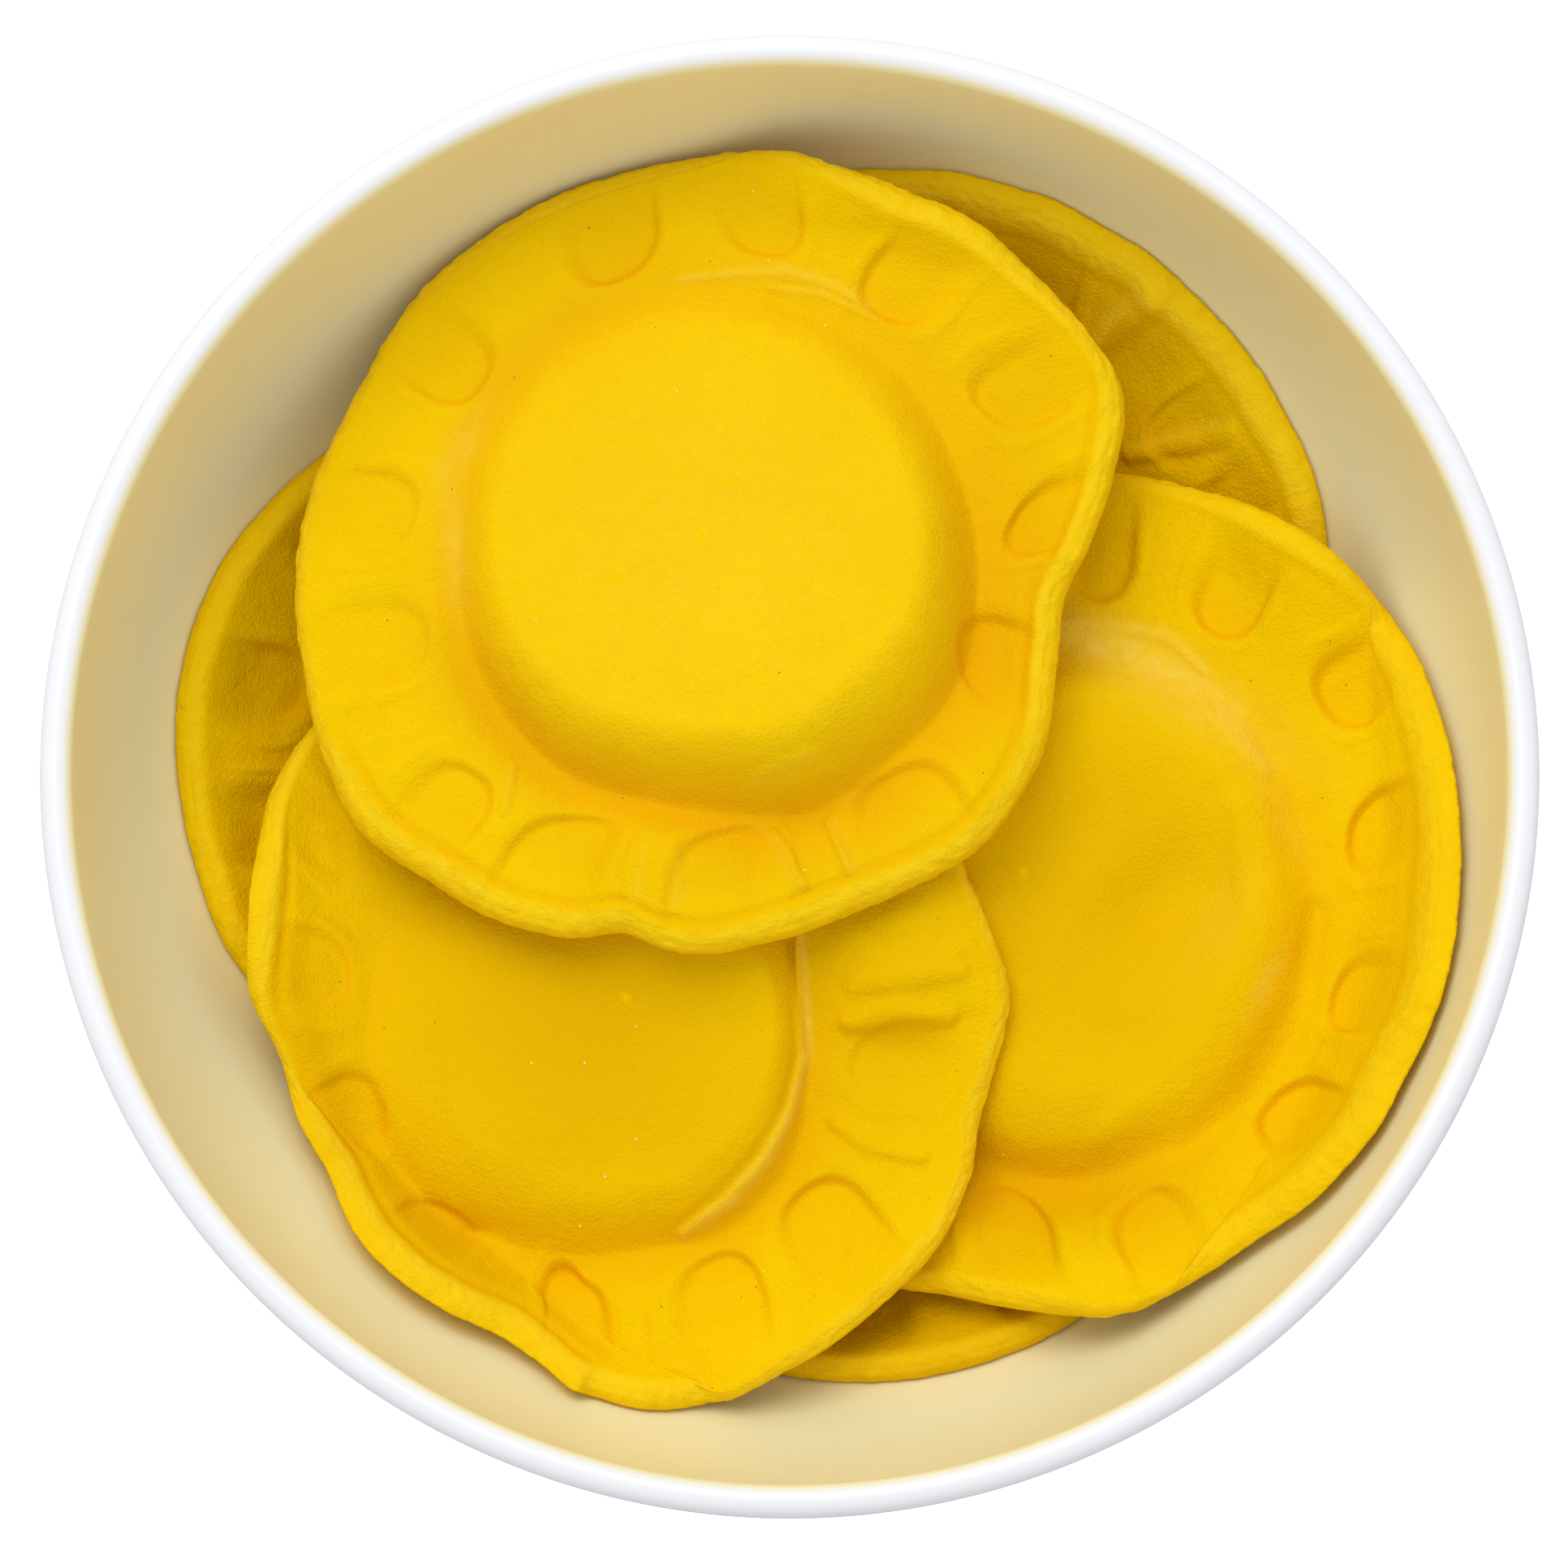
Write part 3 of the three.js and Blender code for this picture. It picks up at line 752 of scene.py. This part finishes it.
def top_surface(index, x, y):
    """Points of the top, with how much deeper the dough's yellow is there, mostly painted shade in
    the finger marks, at the dome's foot and in the edge groove.
    """
    piece = RAVIOLI[index]
    point, normal = underside(index, x, y)
    _, _, angle, distance, _ = polar_at(piece, x, y)
    reach = reach_at(piece, angle)
    press, crease = mark_press(piece, angle, distance, reach)
    edge = reach - cut_width(piece, angle) - distance
    rounding = EDGE_ROUNDING * np.clip(1 - edge / EDGE_ROUNDING_WIDTH, 0, 1) ** 2
    groove = GROOVE_DEPTH * np.exp(-(((edge - GROOVE_PLACE) / GROOVE_WIDTH) ** 2))
    groove = groove * np.maximum(cut_width(piece, angle) - CUT_SLANT + hem_lift(piece, angle), 0)
    relief = SWELLING_HEIGHT * unevenness(x, y, SWELLING_SIZE, SWELLING_SEED + index)
    relief = relief + RIPPLE_HEIGHT * unevenness(x, y, RIPPLE_SIZE, RIPPLE_SEED + index)
    thickness = DOUGH_THICKNESS - press - rounding - groove - foot_band(piece, x, y, "dip")
    thickness = smooth_max(thickness, THINNEST_DOUGH, THINNEST_BLEND)
    thickness = thickness + relief + fold_rise(piece, x, y)
    point = point + normal * thickness[..., None]
    point[..., 2] += dome_rise(piece, x, y) - soft_spots(piece["dents"], x, y)
    point[..., 2] += edge_curl(piece, angle, distance, reach)
    # painted shade: darker in the marks' hollows and on their walls, at the dome's foot and in the
    # edge groove
    painted_shade_tint = PRESSED_AND_HOLLOW_SHADE_TINT * press + CREASE_PAINTED_SHADE * crease + foot_band(piece, x, y, "painted_shade_tint") + groove
    return point, np.clip(painted_shade_tint, 0, 1)


def raviolo_rings(index):
    """Rings of points from the middle of the top, over the cut edge, to the middle below."""
    piece = RAVIOLI[index]
    angle = np.linspace(0, FULL_TURN, piece["sectors"], endpoint=False)
    side, crowding = piece["crowd"]
    angle = angle - crowding * np.sin(angle - np.radians(side))
    ragged = piece["ragged"] * round_unevenness(angle, RAGS_ROUND_BRIM, RAG_SEED + index)
    reach = reach_at(piece, angle) + ragged
    edge = reach - cut_width(piece, angle)
    direction = np.stack([np.cos(angle), np.sin(angle)], -1)
    top, painted_shade_tint = top_surface(index, *on_plan(piece, direction, top_shares(piece) * edge))
    under_shares = np.linspace(1, LAST_UNDER_SHARE, UNDER_RINGS)[:, None]
    under, _ = underside(index, *on_plan(piece, direction, under_shares * reach))
    under[..., 2] += edge_curl(piece, angle[None, :], under_shares * reach, reach)
    cut = cut_rings(top[-1], under[0], direction, index)
    return top, painted_shade_tint, cut, under


def top_shares(piece):
    """Where the rings of the top lie, from the middle to the edge: closer together outside."""
    middle = piece["rings"] // RINGS_FOR_EACH_IN_MIDDLE
    return np.concatenate([
        np.linspace(FIRST_TOP_SHARE, MIDDLE_SHARE, middle, endpoint=False),
        np.linspace(MIDDLE_SHARE, 1, piece["rings"] - middle),
    ])[:, None]


def on_plan(piece, direction, radius):
    """x and y at a distance from a raviolo's centre."""
    centre_x, centre_y = piece["centre"]
    return centre_x + radius * direction[:, 0], centre_y + radius * direction[:, 1]


def cut_rings(upper, lower, direction, index):
    """The rounded cut from the upper to the lower edge, with a seam between the two sheets."""
    span = lower - upper
    outward = np.einsum("ij,ij->i", span[:, :2], direction)
    length = np.hypot(outward, span[:, 2])
    facing = np.column_stack([direction * (-span[:, 2] / length)[:, None], outward / length])
    rings = []
    for share in np.linspace(0, 1, CUT_RINGS + 2)[1:-1]:
        seam = SEAM_DEPTH * np.exp(-(((share - SEAM_PLACE) / SEAM_WIDTH) ** 2))
        u, v = (RAGS_ROUND_BRIM / FULL_TURN + share * GRAINS_ACROSS_CUT) * direction.T
        grain = CUT_GRAIN * unevenness(u, v, 1, CUT_GRAIN_SEED + index)
        bulge = CUT_BULGE_SHARE * length * np.sin(np.pi * share) - seam + grain
        rings.append(upper + share * span + facing * bulge[:, None])
    return np.array(rings)


# ---- meshes ----
def ring_faces(ring_count, sectors, first=0):
    """Two triangles for each cell between neighbouring rings."""
    ring, sector = np.meshgrid(np.arange(ring_count - 1), np.arange(sectors), indexing="ij")
    a = first + ring * sectors + sector
    b = first + ring * sectors + (sector + 1) % sectors
    c, d = b + sectors, a + sectors
    return np.concatenate([np.stack([a, d, c], -1), np.stack([a, c, b], -1)]).reshape(-1, 3)


def cap_faces(ring_start, sectors, middle, upwards):
    """Triangles from a middle point to the ring round it."""
    sector = np.arange(sectors)
    a, b = ring_start + sector, ring_start + (sector + 1) % sectors
    middle = np.full(sectors, middle)
    return np.stack([middle, a, b] if upwards else [middle, b, a], -1)


def new_piece(name, points, faces, material, replaced=(), masks=None):
    """A closed, smooth piece of triangles that rides on the root body."""
    mesh = bpy.data.meshes.new(name)
    mesh.vertices.add(len(points))
    mesh.vertices.foreach_set("co", (np.asarray(points) * MM).astype(np.float32).ravel())
    mesh.loops.add(len(faces) * 3)
    mesh.loops.foreach_set("vertex_index", np.asarray(faces, np.int32).ravel())
    mesh.polygons.add(len(faces))
    mesh.polygons.foreach_set("loop_start", np.arange(0, len(faces) * 3, 3, dtype=np.int32))
    mesh.polygons.foreach_set("loop_total", np.full(len(faces), 3, np.int32))
    mesh.polygons.foreach_set("use_smooth", np.ones(len(faces), bool))
    mesh.update(calc_edges=True)
    for mask, values in (masks or {}).items():
        layer = mesh.attributes.new(mask, "FLOAT", "POINT")
        layer.data.foreach_set("value", values.astype(np.float32))
    mesh.materials.append(material)
    piece = bpy.data.objects.new(name, mesh)
    bpy.context.scene.collection.objects.link(piece)
    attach(piece, "root")
    if replaced:
        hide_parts(*replaced)


def build_raviolo(index, material):
    piece = RAVIOLI[index]
    top, painted_shade_tint, cut, under = raviolo_rings(index)
    sectors = piece["sectors"]
    centre = np.array([piece["centre"]], float)
    top_middle, _ = top_surface(index, centre[:, 0], centre[:, 1])
    under_middle, _ = underside(index, centre[:, 0], centre[:, 1])
    rings = np.concatenate([top, cut, under])
    points = np.concatenate([rings.reshape(-1, 3), top_middle, under_middle])
    faces = np.concatenate([
        ring_faces(len(rings), sectors),
        cap_faces(0, sectors, len(points) - 2, True),
        cap_faces((len(rings) - 1) * sectors, sectors, len(points) - 1, False),
    ])
    masks = dough_masks(piece, rings, painted_shade_tint, len(cut))
    new_piece(
        piece["name"] + "_dough", points, faces, material, (piece["name"],), masks
    )


def dough_masks(piece, rings, painted_shade_tint, cut_count):
    """How far each point is on the cut, in the finger marks and painted shade, floured, and deeper
    and darker in yellow with painted shade; none in the two middles.
    """
    top_count = len(painted_shade_tint)
    on_cut, pressed_and_painted_shade, flour = np.zeros((3,) + rings.shape[:2])
    cut_tones = np.linspace(1, CUT_FOOT_TONE, cut_count + 1)
    on_cut[top_count : top_count + cut_count + 1] = cut_tones[:, None]
    on_cut[top_count - len(CUT_BRINK_TONES) : top_count] = np.array(CUT_BRINK_TONES)[:, None]
    on_cut *= piece["cut_tone"]
    # painted shade of the marks, the dome's foot and the edge groove
    pressed_and_painted_shade[:top_count] = painted_shade_tint
    flour[:top_count] = flour_cover(piece, rings[:top_count, :, 0], rings[:top_count, :, 1])
    # deeper, darker yellow over the whole raviolo and in streaks: painted shade in troughs and low
    # in the heap, partly the dough's own
    rich_and_painted_shade = np.clip(piece["overall_rich_and_painted_shade"] + soft_spots(piece["rich_and_painted_shade"], rings[..., 0], rings[..., 1]), 0, 1)
    masks = {"cut": on_cut, "pressed_and_painted_shade": pressed_and_painted_shade, "flour": flour, "rich_and_painted_shade": rich_and_painted_shade}
    return {name: np.append(mask.ravel(), [0, 0]) for name, mask in masks.items()}


def flour_cover(piece, x, y):
    """Where flour clings: in streaks, and on the creases of the folds."""
    cover = soft_spots(piece["flour"], x, y)
    for points, _, share in piece["folds"]:
        cover += share * np.exp(-(away_from_crease(x, y, points) ** 2))
    return np.clip(cover, 0, 1)


def in_sight(index, x, y):
    """Whether no later raviolo lies over a place."""
    free = np.ones_like(x, bool)
    for piece in RAVIOLI[index + 1 :]:
        _, _, _, distance, reach = polar_at(piece, x, y)
        free &= distance > reach + EDGE_ROOM
    return free


def grain_places(kind, chance):
    """Middles of the grains: those placed singly, then those strewn over the dough in sight."""
    middles = []
    for index, x, y in kind["placed"]:
        middles.append(top_surface(index, np.array([float(x)]), np.array([float(y)]))[0])
    for index, piece in enumerate(RAVIOLI):
        angle = chance.uniform(0, FULL_TURN, kind["each"])
        share = np.sqrt(chance.uniform(0, 1, kind["each"]))
        distance = share * (reach_at(piece, angle) - CUT_SLANT - GRAIN_FROM_EDGE)
        x = piece["centre"][0] + distance * np.cos(angle)
        y = piece["centre"][1] + distance * np.sin(angle)
        seen = in_sight(index, x, y)
        middles.append(top_surface(index, x[seen], y[seen])[0])
    return np.concatenate(middles)


def grain_body():
    """Points and triangles of a rounded body of twenty faces, one millimetre in radius."""
    sides = GRAIN_SIDES
    turn = np.arange(sides) * FULL_TURN / sides
    height, radius = np.sqrt(1 / sides), np.sqrt(1 - 1 / sides)
    belts = []
    for belt_turn, belt_height in ((turn, height), (turn + FULL_TURN / sides / 2, -height)):
        across, along = radius * np.cos(belt_turn), radius * np.sin(belt_turn)
        belts.append(np.column_stack([across, along, np.full(sides, belt_height)]))
    top, bottom = 2 * sides, 2 * sides + 1
    faces = []
    for a in range(sides):
        b = (a + 1) % sides
        c, d = sides + a, sides + b
        faces += [(top, a, b), (a, c, b), (b, c, d), (bottom, d, c)]
    return np.concatenate([*belts, [[0, 0, 1], [0, 0, -1]]]), np.array(faces)


def build_grains(kind):
    """One joined piece of small uneven grains."""
    chance = np.random.RandomState(kind["seed"])
    middles = grain_places(kind, chance)
    body, faces = grain_body()
    count = len(middles)
    size = chance.uniform(*kind["radii"], (count, 1, 1))
    size = size * chance.uniform(*GRAIN_SPREAD, (count, len(body), 1))
    points = middles[:, None] + size * body * (1, 1, GRAIN_FLATNESS)
    faces = faces + len(body) * np.arange(count)[:, None, None]
    material = plain(kind["name"], kind["colour"], CRUMB_ROUGHNESS)
    new_piece(kind["name"], points.reshape(-1, 3), faces.reshape(-1, 3), material)


def bowl_profile():
    """Radius and height round the bowl's section, with the shares of inside glaze and of the
    outside's painted shade.
    """
    under_floor = FLOOR_HEIGHT - FLOOR_THICKNESS
    foot_share = FOOT_OUTER_RADIUS / RIM_RADIUS
    rising = np.sin(np.linspace(0, np.pi / 2, OUTSIDE_RINGS))
    outside = RIM_RADIUS * (foot_share + (1 - foot_share) * rising)
    falling = np.sin(np.linspace(np.pi / 2, INNERMOST_FLOOR_TURN, INSIDE_RINGS))
    inside = INNER_RADIUS * falling
    turn = np.linspace(0, np.pi, LIP_RINGS + 2)[1:-1]
    half_lip = LIP_THICKNESS / 2
    rounding = np.linspace(0, np.pi / 2, FOOT_RINGS)
    base = np.linspace(INNERMOST_BASE_RING, FOOT_INNER_RADIUS, BASE_RINGS)
    foot_in = FOOT_INNER_RADIUS + FOOT_ROUNDING * (1 - np.sin(rounding[::-1]))
    foot_out = FOOT_OUTER_RADIUS - FOOT_ROUNDING * (1 - np.sin(rounding))
    sections = [
        (base, np.full(BASE_RINGS, FOOT_DEPTH)),
        (foot_in[::-1], FOOT_ROUNDING * (1 - np.sin(rounding))),
        (foot_out, FOOT_ROUNDING * (1 - np.cos(rounding))),
        (outside, wall_height(outside, RIM_RADIUS, under_floor)),
        (RIM_RADIUS - half_lip * (1 - np.cos(turn)), RIM_HEIGHT - half_lip * (1 - np.sin(turn))),
        (inside, wall_height(inside, INNER_RADIUS, FLOOR_HEIGHT)),
    ]
    radius = np.concatenate([section[0] for section in sections])
    height = np.concatenate([section[1] for section in sections])
    lip_start = sum(len(section[0]) for section in sections[:4])
    within_edge = GLAZE_EDGE_RADIUS + GLAZE_EDGE_WIDTH / 2 - radius
    inside_share = smooth_step(within_edge / GLAZE_EDGE_WIDTH)
    inside_share[:lip_start] = 0
    # painted cool shade on the outside, from just below the lip down
    outside_shade_share = smooth_step((LIP_SHADE_HEIGHT - height) / LIP_SHADE_WIDTH)
    outside_shade_share[lip_start + LIP_RINGS // 2 :] = 0
    return radius, height, inside_share, outside_shade_share


def build_bowl(material):
    radius, height, inside_share, outside_shade_share = bowl_profile()
    angle = np.linspace(0, FULL_TURN, BOWL_SECTORS, endpoint=False)
    rings = np.stack([
        radius[:, None] * np.cos(angle),
        radius[:, None] * np.sin(angle),
        np.repeat(height[:, None], BOWL_SECTORS, 1),
    ], -1)
    middles = [[0, 0, FOOT_DEPTH], [0, 0, FLOOR_HEIGHT]]
    points = np.concatenate([rings.reshape(-1, 3), middles])
    last_ring = (len(rings) - 1) * BOWL_SECTORS
    faces = np.concatenate([
        ring_faces(len(rings), BOWL_SECTORS)[:, ::-1],
        cap_faces(0, BOWL_SECTORS, len(points) - 2, False),
        cap_faces(last_ring, BOWL_SECTORS, len(points) - 1, True),
    ])
    masks = {
        "inside": np.append(np.repeat(inside_share, BOWL_SECTORS), [0, 1]),
        "outside": np.append(np.repeat(outside_shade_share, BOWL_SECTORS), [1, 0]),
    }
    new_piece("bowl_glazed", points, faces, material, ("bowl",), masks)


# ---- materials ----
def new_material(name):
    material = bpy.data.materials.new(name)
    material.use_nodes = True
    nodes = material.node_tree.nodes
    return material, nodes, material.node_tree.links, nodes["Principled BSDF"]


def mottle_group():
    """Smooth random mottling of a given fineness that swings between two values."""
    group = bpy.data.node_groups.new("mottle", "ShaderNodeTree")
    for name, value in (("Fineness", 100.0), ("Detail", 2.0), ("Least", 0.0), ("Most", 1.0)):
        socket = group.interface.new_socket(name, in_out="INPUT", socket_type="NodeSocketFloat")
        socket.default_value = value
    group.interface.new_socket("Value", in_out="OUTPUT", socket_type="NodeSocketFloat")
    nodes, links = group.nodes, group.links
    given, result = nodes.new("NodeGroupInput"), nodes.new("NodeGroupOutput")
    noise, spread = nodes.new("ShaderNodeTexNoise"), nodes.new("ShaderNodeMapRange")
    links.new(nodes.new("ShaderNodeTexCoord").outputs["Object"], noise.inputs["Vector"])
    links.new(given.outputs["Fineness"], noise.inputs["Scale"])
    links.new(given.outputs["Detail"], noise.inputs["Detail"])
    links.new(noise.outputs["Fac"], spread.inputs["Value"])
    spread.inputs["From Min"].default_value = NOISE_LOW
    spread.inputs["From Max"].default_value = NOISE_HIGH
    links.new(given.outputs["Least"], spread.inputs["To Min"])
    links.new(given.outputs["Most"], spread.inputs["To Max"])
    links.new(spread.outputs["Result"], result.inputs["Value"])
    return group


def add_mottle(nodes, kind, least=0.0, most=1.0):
    node = nodes.new("ShaderNodeGroup")
    node.node_tree = MOTTLE
    for socket, value in zip(node.inputs, (*kind, least, most)):
        socket.default_value = value
    return node.outputs["Value"]


def add_math(nodes, links, operation, first, second):
    node = nodes.new("ShaderNodeMath")
    node.operation = operation
    for socket, value in zip(node.inputs, (first, second)):
        if isinstance(value, (int, float)):
            socket.default_value = value
        else:
            links.new(value, socket)
    return node.outputs["Value"]


def add_mix(nodes, links, share, first, second):
    """Mixes two colours, each given as numbers or as another node's colour."""
    mix = nodes.new("ShaderNodeMix")
    mix.data_type = "RGBA"
    links.new(share, mix.inputs["Factor"])
    for name, colour in (("A", first), ("B", second)):
        socket = next(s for s in mix.inputs if s.name == name and s.type == "RGBA")
        if isinstance(colour, tuple):
            socket.default_value = (*colour, 1)
        else:
            links.new(colour, socket)
    return next(s for s in mix.outputs if s.type == "RGBA")


def add_mask(nodes, name):
    mask = nodes.new("ShaderNodeAttribute")
    mask.attribute_name = name
    return mask.outputs["Fac"]


def add_bump(nodes, links, height, strength, shader):
    bump = nodes.new("ShaderNodeBump")
    bump.inputs["Distance"].default_value = BUMP_HEIGHT * MM
    bump.inputs["Strength"].default_value = strength
    links.new(height, bump.inputs["Height"])
    links.new(bump.outputs["Normal"], shader.inputs["Normal"])


def add_patchy_mask(nodes, links, name, kind, least_and_most):
    """A mask of the mesh, broken up by mottling."""
    patches = add_mottle(nodes, kind, *least_and_most)
    return add_math(nodes, links, "MULTIPLY", add_mask(nodes, name), patches)


def dough_tone(nodes, links):
    """Coarse and fine mottling together, from the deep yellow at 0 to the light one at 1."""
    tone = 0.0
    for kind, most in TONE_PARTS:
        tone = add_math(nodes, links, "ADD", tone, add_mottle(nodes, kind, 0, most))
    return tone


def egg_pasta():
    """Matt yellow egg dough: deeper where the fingers pushed, with painted shade in the marks, at
    the dome's foot, in troughs and low in the heap; paler on the cut, floured in the creases.
    """
    material, nodes, links, shader = new_material("egg_pasta_dough")
    dough = add_mix(nodes, links, dough_tone(nodes, links), DOUGH_DEEP, DOUGH_LIGHT)
    # painted shade with some deeper yellow of the dough, in troughs and on the ravioli low in the
    # heap
    dough = add_mix(nodes, links, add_mask(nodes, "rich_and_painted_shade"), dough, DOUGH_RICH_AND_PAINTED_SHADE)
    # painted shade in the marks, at the dome's foot and in the edge groove, with some deeper yellow
    # where the fingers pushed
    dough = add_mix(nodes, links, add_mask(nodes, "pressed_and_painted_shade"), dough, DOUGH_PRESSED_AND_PAINTED_SHADE)
    cut = add_patchy_mask(nodes, links, "cut", GRAIN, CUT_COVER)
    dough = add_mix(nodes, links, cut, dough, DOUGH_CUT)
    dusted = add_patchy_mask(nodes, links, "flour", DUSTING, FLOUR_COVER)
    dough = add_mix(nodes, links, dusted, dough, FLOURED)
    links.new(dough, shader.inputs["Base Color"])
    links.new(add_mottle(nodes, GRAIN, *DOUGH_ROUGHNESS), shader.inputs["Roughness"])
    shader.inputs["Specular IOR Level"].default_value = DOUGH_GLOSS
    pores = add_mottle(nodes, PORES, 0, PORE_SHARE)
    relief = add_math(nodes, links, "ADD", pores, add_mottle(nodes, GRAIN))
    add_bump(nodes, links, relief, DOUGH_BUMP, shader)
    return material


def bowl_glaze():
    """White glaze on the lip with a painted cool shade outside; inside a pale yellow glaze with a
    painted yellow reflection of the ravioli.
    """
    material, nodes, links, shader = new_material("bowl_glaze_white")
    inside = add_mask(nodes, "inside")
    # pale yellow glaze with painted yellow reflection of the ravioli
    cream_and_reflection = add_mix(nodes, links, add_mottle(nodes, GLAZE_CLOUDS), CREAM_AND_REFLECTION_DEEP, CREAM_AND_REFLECTION_LIGHT)
    # painted cool shade on the outside of the white glaze
    white = add_mix(nodes, links, add_mask(nodes, "outside"), WHITE_GLAZE, OUTSIDE_PAINTED_SHADE)
    links.new(add_mix(nodes, links, inside, white, cream_and_reflection), shader.inputs["Base Color"])
    sheen = nodes.new("ShaderNodeMapRange")
    sheen.inputs["To Min"].default_value = LIP_ROUGHNESS
    sheen.inputs["To Max"].default_value = INSIDE_ROUGHNESS
    links.new(inside, sheen.inputs["Value"])
    links.new(sheen.outputs["Result"], shader.inputs["Roughness"])
    add_bump(nodes, links, add_mottle(nodes, GLAZE_RIPPLES), GLAZE_BUMP, shader)
    return material


def plain(name, colour, roughness):
    """One faintly speckled colour."""
    material, nodes, links, shader = new_material(name)
    paler = tuple(min(1, part * SPECKLE_LIFT) for part in colour)
    speckled = add_mix(nodes, links, add_mottle(nodes, SPECKLE), colour, paler)
    links.new(speckled, shader.inputs["Base Color"])
    shader.inputs["Roughness"].default_value = roughness
    return material


def floor_paper():
    """Pale paper that looks evenly white, however the bowl shades it."""
    material = plain("floor_paper", FLOOR_GREY, FLOOR_ROUGHNESS)
    nodes, shader = material.node_tree.nodes, material.node_tree.nodes["Principled BSDF"]
    shader.inputs["Emission Color"].default_value = (1, 1, 1, 1)
    seen = nodes.new("ShaderNodeLightPath").outputs["Is Camera Ray"]
    material.node_tree.links.new(seen, shader.inputs["Emission Strength"])
    return material


# ---- floor, lights and camera ----
def build_floor():
    mesh = bpy.data.meshes.new("floor")
    turn = np.linspace(0, FULL_TURN, FLOOR_CORNERS, endpoint=False)
    corners = FLOOR_RADIUS * np.column_stack([np.cos(turn), np.sin(turn), np.zeros(FLOOR_CORNERS)])
    corners[:, 2] = -FLOOR_DROP
    mesh.from_pydata((corners * MM).tolist(), [], [tuple(range(FLOOR_CORNERS))])
    mesh.materials.append(floor_paper())
    floor = bpy.data.objects.new("floor", mesh)
    bpy.context.scene.collection.objects.link(floor)


def turn_towards(item, place, aim):
    """Puts a lamp or a camera at its place and points it at its aim."""
    item.location = place
    item.rotation_euler = (aim - place).to_track_quat("-Z", "Y").to_euler()
    bpy.context.scene.collection.objects.link(item)


def light_the_room():
    world = bpy.data.worlds.new("room")
    world.use_nodes = True
    background = world.node_tree.nodes["Background"]
    background.inputs["Color"].default_value = (*ROOM_COLOUR, 1)
    background.inputs["Strength"].default_value = ROOM_STRENGTH
    bpy.context.scene.world = world
    bpy.context.scene.view_settings.view_transform = "Standard"


def hang_the_window():
    """One large soft lamp, high up behind the bowl."""
    light = bpy.data.lights.new("window", "AREA")
    light.shape = "DISK"
    light.size = WINDOW_SIZE * MM
    light.energy = WINDOW_POWER
    light.color = WINDOW_COLOUR
    lamp = bpy.data.objects.new("window", light)
    turn_towards(lamp, Vector(WINDOW_PLACE) * MM, Vector(WINDOW_AIM) * MM)


def place_camera():
    """Looks down steeply from the front."""
    aim = Vector(CAMERA_AIM) * MM
    elevation = np.radians(CAMERA_ELEVATION)
    backwards = Vector((0, -np.cos(elevation), np.sin(elevation)))
    camera = bpy.data.cameras.new("camera")
    camera.sensor_fit = "HORIZONTAL"
    camera.angle = float(2 * np.arctan(CAMERA_HALF_VIEW / CAMERA_DISTANCE))
    eye = bpy.data.objects.new("camera", camera)
    turn_towards(eye, aim + CAMERA_DISTANCE * MM * backwards, aim)
    bpy.context.scene.camera = eye


MOTTLE = mottle_group()
build_floor()
light_the_room()
hang_the_window()
place_camera()
build_bowl(bowl_glaze())
lay_the_ravioli()
dough = egg_pasta()
for order in range(len(RAVIOLI)):
    build_raviolo(order, dough)
for kind in GRAINS:
    build_grains(kind)
